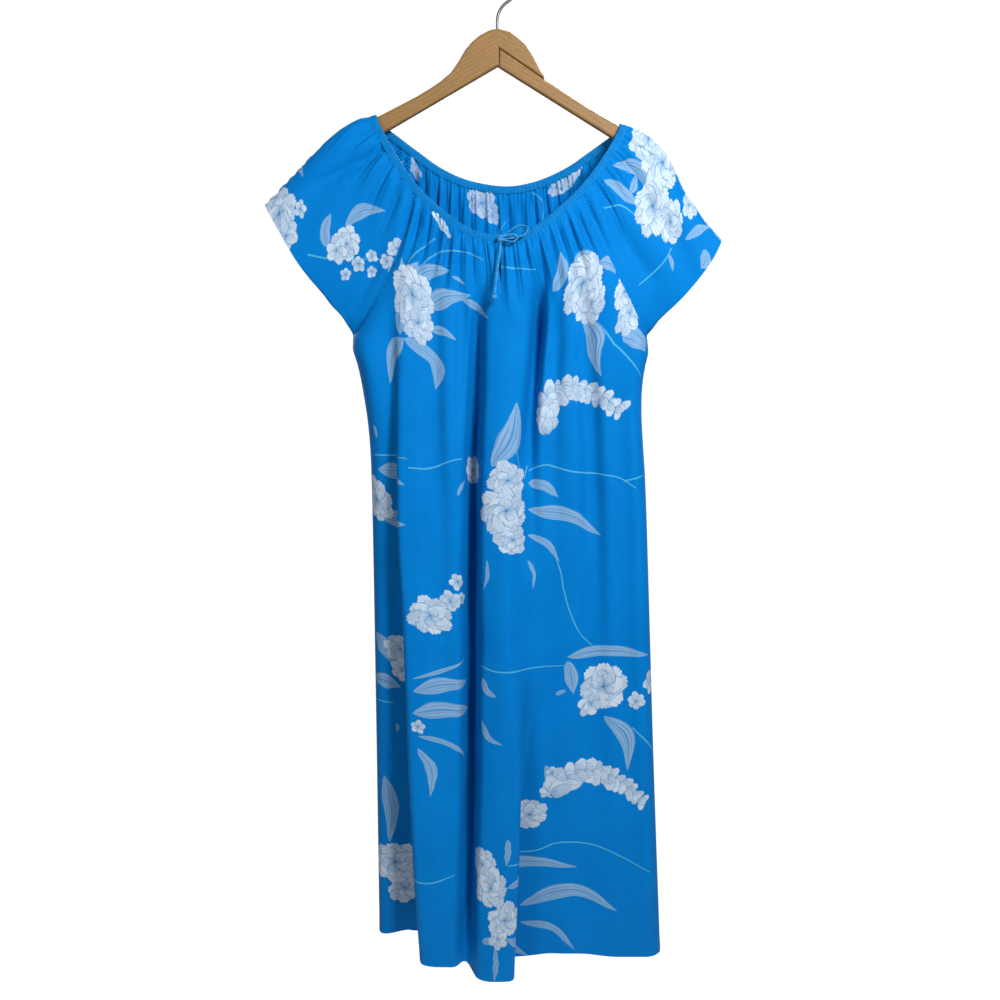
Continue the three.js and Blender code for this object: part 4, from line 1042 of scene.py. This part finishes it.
def shell(cloth, motifs, slit):
    """The cloth as a closed skin: flat cut and print first, then laid on the grid."""
    border, filling = cloth.outline(CLOTH_STEP), cloth.filling(CLOTH_STEP)
    drawn = np.concatenate([m.outline for m in motifs])
    cell = 0.42 * CLOTH_STEP
    taken = {tuple(c) for c in np.floor(drawn / cell).astype(int)}
    filling = np.array([p for p in filling if tuple(np.floor(p / cell).astype(int)) not in taken])
    cuts = [np.array([(-0.25, 9.0), (0.0, -slit), (0.25, 9.0)])] if slit else []
    outlines = [border] + cuts + [m.outline for m in motifs]
    faces, start = [], 0
    for outline in outlines:
        faces.append(list(range(start, start + len(outline))))
        start += len(outline)
    flat = np.concatenate(outlines + [filling])
    corners, _, triangles, _, _, inside = delaunay_2d_cdt(
        [Vector(p) for p in flat], [], faces, 0, 1e-4)
    first_motif = 1 + len(cuts)
    chosen, drawn_by = [], []
    for triangle, owners in zip(triangles, inside):
        if 0 not in owners or (cuts and 1 in owners):
            continue
        chosen.append(triangle)
        top = max(owners)
        drawn_by.append(top - first_motif if top >= first_motif else -1)
    flat = np.array([tuple(c) for c in corners])
    triangles, drawn_by = np.array(chosen), np.array(drawn_by)
    used, triangles = np.unique(triangles, return_inverse=True)
    triangles = triangles.reshape(-1, 3)
    flat = flat[used]

    middle, normals = cloth.lift(flat)
    if slit:
        opening = SLIT_HALF_WIDTH * clamp01(1 + flat[:, 1] / slit)
        middle[:, 0] += np.sign(flat[:, 0]) * opening * np.exp(-((flat[:, 0] / 13) ** 2))
    above_hem = cloth.length + flat[:, 1]
    thick = mix(HALF_CLOTH, HALF_HEM, smooth(HEM_HEIGHT + 1, HEM_HEIGHT - 1, above_hem))
    outer, inner = middle + normals * thick[:, None], middle - normals * thick[:, None]
    a, b, c = (outer[triangles[:, k]] for k in range(3))
    facing = np.sum(np.cross(b - a, c - a) * normals[triangles[:, 0]])
    if facing < 0:
        triangles = triangles[:, ::-1]
    count = len(flat)
    edges = np.concatenate([triangles[:, [0, 1]], triangles[:, [1, 2]], triangles[:, [2, 0]]])
    keys = np.sort(edges, axis=1)
    _, index, uses = np.unique(keys, axis=0, return_index=True, return_counts=True)
    rim = edges[index[uses == 1]]
    rim_quads = np.stack([rim[:, 1], rim[:, 0], rim[:, 0] + count, rim[:, 1] + count], axis=1)
    inner_triangles = triangles[:, ::-1] + count
    vertices = np.concatenate([outer, inner]) / 1000
    piece_faces = triangles.tolist() + inner_triangles.tolist() + rim_quads.tolist()
    piece = new_mesh("cloth_" + cloth.name, vertices, piece_faces,
                     np.concatenate([normals, -normals]))

    kinds = np.array([m.kind for m in motifs] + [-1])
    tones = np.array([m.tone for m in motifs] + [0.5])
    kind_of = kinds[drawn_by]
    tri_colour = np.zeros((len(triangles), 4), dtype=np.float32)
    for kind in (PETAL, LEAF, STEM):
        tri_colour[kind_of == kind, kind] = 1.0
    tri_colour[:, 3] = tones[drawn_by]
    tri_place = np.zeros((len(triangles), 3, 2), dtype=np.float32)
    order = np.argsort(drawn_by, kind="stable")
    bounds = np.searchsorted(drawn_by[order], np.arange(len(motifs) + 1))
    for number, motif in enumerate(motifs):
        own = order[bounds[number]:bounds[number + 1]]
        if len(own):
            corners_of = flat[triangles[own]].reshape(-1, 2)
            tri_place[own] = motif.place(corners_of).reshape(-1, 3, 2)
    rim_colour = np.zeros((len(rim) * 4, 4), dtype=np.float32)
    rim_colour[:, 3] = 0.5
    colours = np.concatenate([
        np.repeat(tri_colour, 3, axis=0), np.repeat(tri_colour, 3, axis=0), rim_colour])
    dye = piece.data.color_attributes.new(name="dye", type="FLOAT_COLOR", domain="CORNER")
    dye.data.foreach_set("color", colours.ravel())
    places = np.concatenate([
        tri_place.reshape(-1, 2), tri_place[:, ::-1].reshape(-1, 2), np.zeros((len(rim) * 4, 2))])
    set_uv(piece, "flat", np.concatenate([flat, flat]) / 1000)
    layer = piece.data.uv_layers.new(name="motif")
    layer.data.foreach_set("uv", places.astype(np.float32).ravel())
    side = np.concatenate([np.zeros(count), np.ones(count)])
    set_uv(piece, "edge", np.stack([np.tile(above_hem / 1000, 2), side], axis=1))
    return piece


def panel(face):
    return Cloth(
        FACE_NAME[face], lambda columns: neck_across(face, columns),
        lambda zone, share, columns: panel_row(face, zone, share, columns),
        [("raglan", np.linspace(0, 1, 61)), ("skirt", np.linspace(0, 1, 141)[1:])])


def sleeve(side):
    return Cloth(
        "sleeve_" + side, lambda columns: neck_over_sleeve(side, columns),
        lambda zone, share, columns: sleeve_row(side, zone, share, columns),
        [("raglan", np.linspace(0, 1, 61)), ("cuff", np.linspace(0, 1, 9)[1:])])


def drawn(stems=(), leaves=(), flowers=(), sprays=(), bouquets=()):
    """The motif parts of one cut, in drawing order."""
    parts = [stem(points) for points in stems] + [leaf(*row) for row in leaves]
    parts += [part for row in flowers for part in flower(*row)]
    parts += [part for points, size in sprays for part in spray(points, size)]
    return parts + [part for place in bouquets for part in place]


for cut, places in HIDDEN_BOUQUETS.items():
    PRINTS[cut]["bouquets"] = [bouquet(*place) for place in places]

cloths = {
    "dress_front": panel(FRONT), "dress_back": panel(BACK),
    "sleeve_left": sleeve("left"), "sleeve_right": sleeve("right"),
}
# Puckers under the band: their count, their height and the way that the cloth faces
PUCKERS = [(44, 1.4, FRONT), (44, 1.4, BACK), (36, 1.3, 0), (34, 1.3, 0)]
for cloth, puckers in zip(cloths.values(), PUCKERS):
    finish_grid(cloth, *puckers)

slit_depth = float(np.interp(
    1 + 60 * SLIT_SHARE, np.arange(len(cloths["dress_front"].v)), -cloths["dress_front"].v))
printed = {
    name: shell(cloth, drawn(**PRINTS[name]), slit_depth if name == "dress_front" else 0.0)
    for name, cloth in cloths.items()
}


# ---------------------------------------------------------------- band, bow, hook
def neck_band():
    """The drawn-up tube round the neck: flat, full of small puckers."""
    stations, sides = 1500, 22
    start = SLIT_HALF_WIDTH / neck.length
    share = np.linspace(start, 1 - start, stations)
    place, out, fall = neck.frame(share)
    angle = np.linspace(0, 2 * np.pi, sides, endpoint=False)
    run = share * neck.length
    phase = 2 * np.pi * run / 4.6 + 1.5 * np.sin(run / 23) + 0.9 * np.sin(run / 9.1 + 1)
    pucker = np.sin(phase) * (0.75 + 0.25 * np.sin(phase / 3.7))
    flat = np.sign(np.cos(angle)) * np.abs(np.cos(angle)) ** 0.75
    thick = np.sign(np.sin(angle)) * np.abs(np.sin(angle)) ** 0.85
    across = 5.15 + 0.22 * pucker[:, None] + 0.12 * np.sin(run / 13)[:, None]
    wave = pucker[:, None] * (0.3 + 0.7 * np.abs(flat)[None, :] ** 0.5)
    half = 1.25 + 0.26 * wave
    cap = np.minimum(1, np.sqrt(np.maximum(0.02, np.minimum(
        run - run[0], run[-1] - run) / 2.0)))[:, None]
    down = 5.1 + flat[None, :] * across * (0.55 + 0.45 * cap)
    offset = thick[None, :] * half * cap
    points = place[:, None] + fall[:, None] * down[..., None] + out[:, None] * offset[..., None]
    uv = np.stack([np.repeat(run, sides), np.tile((flat * 5)[::-1], stations)], axis=1)
    uv = np.concatenate([uv, [[run[0], 0], [run[-1], 0]]])
    return loft("neck_band_tube", points[:, ::-1], uv / 1000)


band = neck_band()

KNOT = (1.0, -43.2, -331.0)
LOOP_STATIONS = 90


def ribbon_loop(name, reach, spread, y, lean):
    """One flat loop of the bow: a folded tube of cloth lying on the dress."""
    length = math.hypot(*reach)
    ahead = np.array([reach[0], reach[1]]) / length
    aside = np.array([-ahead[1], ahead[0]])

    def at(along, across, lift):
        return (KNOT[0] + ahead[0] * along + aside[0] * across, y + lift,
                KNOT[2] + ahead[1] * along + aside[1] * across)

    spine = centripetal([
        at(1.5, 1.2, 0), at(length * 0.35, spread * 0.72, 0), at(length * 0.75, spread, -0.5),
        at(length * 0.97, 0, -1), at(length * 0.75, -spread, -0.5),
        at(length * 0.35, -spread * 0.72, 0), at(1.5, -1.2, 0),
    ], LOOP_STATIONS)

    def section(station, angle):
        swell = np.sin(np.pi * station / (LOOP_STATIONS - 1))
        pinch = 0.62 + 0.38 * swell ** 0.6
        pleat = 1 + 0.1 * np.sin(3 * angle + station * 0.25) + 0.05 * np.sin(station * 1.3)
        across = 1.05 * np.cos(angle) * pleat
        out = 2.1 * pinch * np.sign(np.sin(angle)) * np.abs(np.sin(angle)) ** 0.7
        turn = lean * swell
        return (across * np.cos(turn) - out * np.sin(turn),
                across * np.sin(turn) + out * np.cos(turn))

    return tube(name, spine, section, 20)


bow_loops = [
    ribbon_loop("bow_loop_long", (34, 13), 6, -43.5, 0.35),
    ribbon_loop("bow_loop_short", (21, 1), 4.5, -45.5, -0.3),
]
bow_knot = lump("bow_knot", KNOT, (4.9, 4.1, 4.9), 5, 0.9, 0.16)

HOOK_CENTRE_Z, HOOK_RADIUS, WIRE_RADIUS = -19.0, 20.8, 1.8
# Stations along the wire, and how many of them its tip takes to round off
HOOK_STATIONS, TIP_STATIONS = 260, 2.6
SHANK = [(-3.3, 0, -84.6), (-3.3, 0, -70), (-3.2, 0, -58), (-1.3, 0, -50.5), (3.8, 0, -42.6)]
circle = [
    (HOOK_RADIUS * math.cos(math.radians(a)), 0,
     HOOK_CENTRE_Z + HOOK_RADIUS * math.sin(math.radians(a))) for a in range(-50, 201, 10)]
hook_spine = centripetal(SHANK + circle, HOOK_STATIONS)


def wire_section(station, angle):
    from_tip = (HOOK_STATIONS - 1 - station) / TIP_STATIONS
    round_tip = np.where(from_tip < 1, np.sqrt(np.clip(from_tip * (2 - from_tip), 0.02, 1)), 1)
    return (WIRE_RADIUS * round_tip * np.cos(angle), WIRE_RADIUS * round_tip * np.sin(angle))


hook = tube("hook_wire_bent", hook_spine, wire_section, 28)

# The glue in the butt joint below the lap
JOINT_TOP, JOINT_FOOT = np.array([-1.0, 0.0, -93.6]), np.array([-1.0, 0.0, -116.4])
JOINT_STATIONS = 40
joint_spine = mix(JOINT_TOP, JOINT_FOOT, np.linspace(0, 1, JOINT_STATIONS)[:, None])


def glue_section(station, angle):
    squeezed = 1 + 0.05 * np.sin(station * 0.9) + 0.03 * np.sin(station * 2.3 + angle)
    from_end = np.minimum(station, JOINT_STATIONS - 1 - station)
    depth = 4.9 * np.minimum(1, 0.5 + from_end / 3)
    return (0.26 * squeezed * np.sign(np.cos(angle)) * np.abs(np.cos(angle)) ** 0.5,
            depth * squeezed * np.sign(np.sin(angle)) * np.abs(np.sin(angle)) ** 0.5)


glue = tube("hanger_joint_glue", joint_spine, glue_section, 16)


# ---------------------------------------------------------------- materials
class Shader:
    """Short calls for building a material's nodes."""

    def __init__(self, name):
        self.material = bpy.data.materials.new(name)
        self.material.use_nodes = True
        self.tree = self.material.node_tree

    def node(self, kind, values=(), **options):
        """A new node, with values or sockets fed to its inputs in their order."""
        made = self.tree.nodes.new(kind)
        for key, value in options.items():
            setattr(made, key, value)
        for socket, value in zip(made.inputs, values):
            self.feed(socket, value)
        return made

    def feed(self, socket, value):
        if isinstance(value, bpy.types.NodeSocket):
            self.tree.links.new(value, socket)
        else:
            socket.default_value = value

    def uv(self, layer):
        return self.node("ShaderNodeUVMap", uv_map=layer).outputs["UV"]

    def place(self):
        return self.node("ShaderNodeTexCoord").outputs["Object"]

    def split(self, vector):
        return self.node("ShaderNodeSeparateXYZ", [vector]).outputs

    def join(self, x, y, z=0.0):
        return self.node("ShaderNodeCombineXYZ", (x, y, z)).outputs[0]

    def math(self, operation, *values):
        return self.node("ShaderNodeMath", values, operation=operation).outputs[0]

    def times(self, a, b):
        return self.math("MULTIPLY", a, b)

    def plus(self, a, b):
        return self.math("ADD", a, b)

    def waves(self, value, length):
        return self.math("SINE", self.times(value, math.tau / length))

    def ramp(self, *values):
        """A smooth step of a value from low to high, to 0 and 1 or to two given values."""
        return self.node("ShaderNodeMapRange", values, interpolation_type="SMOOTHSTEP").outputs[0]

    def line(self, value, middle, outer, inner):
        """A soft line: 1 within the inner distance of its middle, 0 beyond the outer one."""
        return self.ramp(self.math("ABSOLUTE", self.math("SUBTRACT", value, middle)), outer, inner)

    def mix(self, share, a, b):
        made = self.node("ShaderNodeMix", [share], data_type="RGBA")
        for socket, colour in ((made.inputs[6], a), (made.inputs[7], b)):
            known = isinstance(colour, bpy.types.NodeSocket)
            self.feed(socket, colour if known else (*colour, 1.0))
        return made.outputs[2]

    def coats(self, colour, *coats):
        """A colour under coats of others: the share and colour of each."""
        for share, coat in coats:
            colour = self.mix(share, colour, coat)
        return colour

    def noise(self, vector, scale=1.0, detail=2.0, rough=0.5):
        made = self.node("ShaderNodeTexNoise")
        for key, value in (("Vector", vector), ("Scale", scale), ("Detail", detail),
                           ("Roughness", rough)):
            self.feed(made.inputs[key], value)
        return made.outputs["Fac"]

    def scaled(self, vector, scale):
        return self.node("ShaderNodeVectorMath", (vector, scale), operation="MULTIPLY").outputs[0]

    def bump(self, height, strength, distance, under=None):
        made = self.node("ShaderNodeBump")
        for key, value in (("Strength", strength), ("Distance", distance), ("Height", height)):
            self.feed(made.inputs[key], value)
        if under is not None:
            self.feed(made.inputs["Normal"], under)
        return made.outputs["Normal"]

    def finish(self, **values):
        surface = self.tree.nodes["Principled BSDF"]
        for key, value in values.items():
            self.feed(surface.inputs[key.replace("_", " ")], value)
        return self.material


CLOTH_SURFACE = dict(
    Specular_IOR_Level=0.16, Specular_Tint=GLOSS_TINT, Sheen_Weight=0.04, Sheen_Roughness=0.45,
    Sheen_Tint=GLOSS_TINT)
# Distance between threads, and between stitches at the hem and on the band, in metres
WARP_PITCH, WEFT_PITCH = 0.00052, 0.00056
HEM_STITCH, BAND_STITCH = 0.0032, 0.0028
# Rows of stitches, above the hem and from the band's middle, and the edge of the hem's fold
HEM_ROW, BAND_ROW, HEM_FOLD = 0.0115, 0.0034, 0.0122
GROWTH_RING = 0.0058


def weave(s, flat):
    """Heights of plain-woven threads with slubs, and the slubs alone."""
    u, v, _ = s.split(flat)
    threads = s.times(s.waves(u, WARP_PITCH), s.waves(v, WEFT_PITCH))
    slubs = s.plus(s.noise(s.scaled(flat, (120, 2600, 1)), 1.0, 1.0),
                   s.noise(s.scaled(flat, (2600, 120, 1)), 1.0, 1.0))
    return s.plus(s.times(threads, 0.5), slubs), slubs


def printed_material():
    s = Shader("printed_rayon")
    flat = s.uv("flat")
    dye = s.node("ShaderNodeAttribute", attribute_name="dye", attribute_type="GEOMETRY")
    petal_mask, leaf_mask, stem_mask = s.split(dye.outputs["Color"])
    tone = dye.outputs["Alpha"]
    across, along, _ = s.split(s.uv("motif"))
    height, inside, _ = s.split(s.uv("edge"))
    rim = s.math("ABSOLUTE", across)
    blot = s.noise(flat, 90, 3.0, 0.6)
    streak = s.noise(s.join(s.times(across, 7.0), s.times(along, 1.6), tone), 1.0, 2.0, 0.6)
    ground = s.coats(
        GROUND_DEEP, (s.ramp(s.noise(flat, 14), 0.3, 0.7), GROUND),
        (s.ramp(blot, 0.45, 0.75, 0.0, 0.35), GROUND_LIGHT))
    petals = s.coats(
        PETAL_DEEP, (s.ramp(along, 0.05, 0.75), PETAL_LIGHT),
        (s.ramp(streak, 0.5, 0.72, 0.0, 0.55), PETAL_SHADE),
        (s.ramp(rim, 0.8, 0.97, 0.0, 0.85), PETAL_SHADE),
        (s.ramp(along, 0.86, 1.0, 0.0, 0.5), PETAL_TIP),
        (s.ramp(along, 0.16, 0.04), PETAL_HEART), (s.times(tone, 0.35), PETAL_SHADE))
    veins = s.math("SINE", s.plus(s.times(across, 15.0), streak))
    leaves = s.coats(
        LEAF_LIGHT, (s.ramp(streak, 0.35, 0.7), LEAF_DEEP),
        (s.ramp(veins, 0.3, 0.95, 0.0, 0.55), LEAF_VEIN),
        (s.times(s.ramp(rim, 0.16, 0.05), 0.75), LEAF_VEIN),
        (s.ramp(rim, 0.8, 1.0, 0.0, 0.45), LEAF_VEIN), (s.times(tone, 0.3), LEAF_DEEP))
    threads, slubs = weave(s, flat)
    dashes = s.ramp(s.waves(s.split(flat)[0], HEM_STITCH), -0.55, -0.2)
    stitch = s.times(dashes, s.line(height, HEM_ROW, 0.0006, 0.00025))
    colour = s.coats(
        ground, (stem_mask, STEM_COLOUR), (leaf_mask, leaves), (petal_mask, petals),
        (s.ramp(slubs, 0.7, 1.35, 0.0, 0.12), GROUND_DEEP), (s.times(inside, 0.3), GROUND_DEEP),
        (s.times(stitch, 0.55), STITCH))
    relief = s.math("SUBTRACT", stitch, s.line(height, HEM_FOLD, 0.0011, 0.0))
    return s.finish(
        Base_Color=colour, Roughness=s.ramp(blot, 0.2, 0.8, 0.56, 0.68),
        Normal=s.bump(relief, 0.5, 0.0004, s.bump(threads, 0.22, 0.00018)), **CLOTH_SURFACE)


def plain_material():
    s = Shader("band_rayon")
    flat = s.uv("flat")
    run, place, _ = s.split(flat)
    dashes = s.ramp(s.waves(run, BAND_STITCH), -0.5, -0.1)
    stitch = s.times(dashes, s.line(place, BAND_ROW, 0.0006, 0.0003))
    colour = s.coats(
        BAND_DEEP, (s.ramp(s.noise(flat, 120, 3.0, 0.6), 0.3, 0.7), BAND),
        (s.times(stitch, 0.5), STITCH))
    grain = s.bump(s.noise(s.scaled(flat, (2200, 300, 1))), 0.3, 0.0002)
    return s.finish(Base_Color=colour, Normal=s.bump(stitch, -0.6, 0.0004, grain), Roughness=0.6,
                    **CLOTH_SURFACE)


def tie_material():
    s = Shader("tie_rayon")
    run, turn, _ = s.split(s.uv("flat"))
    twist = s.plus(s.times(run, 900.0), s.times(turn, math.tau))
    ply = s.math("SINE", s.times(twist, 3.0))
    blot = s.noise(s.join(s.times(run, 300.0), turn), 1.0, 3.0)
    return s.finish(
        Base_Color=s.mix(s.ramp(blot, 0.3, 0.7), TIE, TIE_LIGHT),
        Normal=s.bump(ply, 0.35, 0.0003), Roughness=0.6, **CLOTH_SURFACE)


def wood_material():
    s = Shader("beech")
    place = s.place()
    x, y, z = s.split(place)
    drift = s.times(s.noise(s.scaled(place, (6, 20, 20))), 0.012)
    level = s.plus(s.plus(z, s.times(s.math("ABSOLUTE", x), 0.55)), drift)
    rings = s.waves(level, GROWTH_RING)
    fibre = s.noise(s.join(s.times(x, 60.0), s.times(y, 900.0), s.times(level, 900.0)),
                    1.0, 3.0, 0.65)
    fleck = s.noise(s.join(s.times(x, 260.0), s.times(y, 1600.0), s.times(level, 1600.0)),
                    1.0, 1.0)
    colour = s.coats(
        WOOD_LIGHT, (s.ramp(rings, -1.0, 1.0, 0.0, 0.55), WOOD),
        (s.ramp(fibre, 0.35, 0.75, 0.0, 0.7), WOOD_DEEP),
        (s.ramp(fleck, 0.6, 0.72, 0.0, 0.4), WOOD_DARK))
    return s.finish(
        Base_Color=colour, Normal=s.bump(s.plus(fibre, s.times(rings, 0.2)), 0.25, 0.0004),
        Roughness=s.ramp(fibre, 0.2, 0.8, 0.36, 0.5), Specular_IOR_Level=0.3, Coat_Weight=0.05,
        Coat_Roughness=0.3)


def glue_material():
    s = Shader("wood_glue")
    beads = s.noise(s.scaled(s.place(), (900, 900, 700)), 1.0, 3.0)
    return s.finish(
        Base_Color=s.mix(s.ramp(beads, 0.35, 0.7), WOOD_DEEP, WOOD_DARK),
        Normal=s.bump(beads, 0.3, 0.0002), Roughness=0.45, Specular_IOR_Level=0.3)


def steel_material():
    s = Shader("hook_steel")
    run, turn, _ = s.split(s.uv("flat"))
    lines = s.noise(s.join(s.times(run, 40.0), s.times(turn, 60.0)), 1.0, 3.0)
    worn = s.noise(s.join(s.times(run, 140.0), s.times(turn, 3.0)), 1.0, 3.0)
    return s.finish(
        Base_Color=s.mix(s.ramp(worn, 0.4, 0.8), STEEL, STEEL_DARK), Metallic=1.0,
        Roughness=s.ramp(lines, 0.2, 0.8, 0.42, 0.56), Normal=s.bump(lines, 0.15, 0.0002))


# ---------------------------------------------------------------- dressing the nodes
def dress(piece, node, material):
    piece.data.materials.append(material)
    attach(piece, "root")
    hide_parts(node)


printed_rayon, tie_rayon = printed_material(), tie_material()
for node, piece in printed.items():
    dress(piece, node, printed_rayon)
dress(band, "neck_band", plain_material())
for piece in [bow_knot] + bow_loops:
    dress(piece, "tie_bow", tie_rayon)
for piece in (tie, tip_knot):
    piece.data.materials.append(tie_rayon)
dress(hook, "hanger_hook", steel_material())
glue.data.materials.append(glue_material())
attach(glue, "root")
beech = wood_material()
for node in ("hanger_wood_left", "hanger_wood_right"):
    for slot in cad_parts[node].material_slots:
        slot.link = "OBJECT"
        slot.material = beech

for node, piece in printed.items():
    cloth = cloths[node]
    area = float(np.trapz(cloth.width, -cloth.v)) / 1e6


# ---------------------------------------------------------------- floor and light
def set_up_light():
    floor_mesh = bpy.data.meshes.new("floor")
    reach, level, corners = 1.8, -2.3, 64
    turns = [math.tau * k / corners for k in range(corners)]
    floor_mesh.from_pydata(
        [(reach * math.cos(t), reach * math.sin(t), level) for t in turns], [],
        [list(range(corners))])
    floor = bpy.data.objects.new("floor", floor_mesh)
    scene.collection.objects.link(floor)
    s = Shader("pale_floor")
    grain = s.noise(s.place(), 40.0)
    floor_mesh.materials.append(s.finish(
        Base_Color=s.mix(grain, (0.3, 0.3, 0.3), (0.34, 0.34, 0.34)), Roughness=0.9,
        Specular_IOR_Level=0.0, Emission_Color=(1.0, 1.0, 1.0, 1.0), Emission_Strength=0.9))

    world = bpy.data.worlds.new("studio")
    scene.world = world
    world.use_nodes = True
    nodes, links = world.node_tree.nodes, world.node_tree.links
    background = nodes["Background"]
    background.inputs["Color"].default_value = (1.0, 1.0, 1.0, 1.0)
    ray, strength = nodes.new("ShaderNodeLightPath"), nodes.new("ShaderNodeMapRange")
    links.new(ray.outputs["Is Camera Ray"], strength.inputs["Value"])
    strength.inputs["To Min"].default_value = SURROUND
    strength.inputs["To Max"].default_value = WHITE
    links.new(strength.outputs[0], background.inputs["Strength"])
    scene.view_settings.view_transform = "Standard"

    for name, place, target, size, power in LIGHTS:
        data = bpy.data.lights.new(name, "AREA")
        data.shape = "DISK"
        data.size = size
        data.energy = power
        light = bpy.data.objects.new(name, data)
        light.location = place
        light.rotation_euler = (Vector(target) - Vector(place)).to_track_quat("-Z", "Y").to_euler()
        scene.collection.objects.link(light)


set_up_light()

bpy.context.view_layer.update()
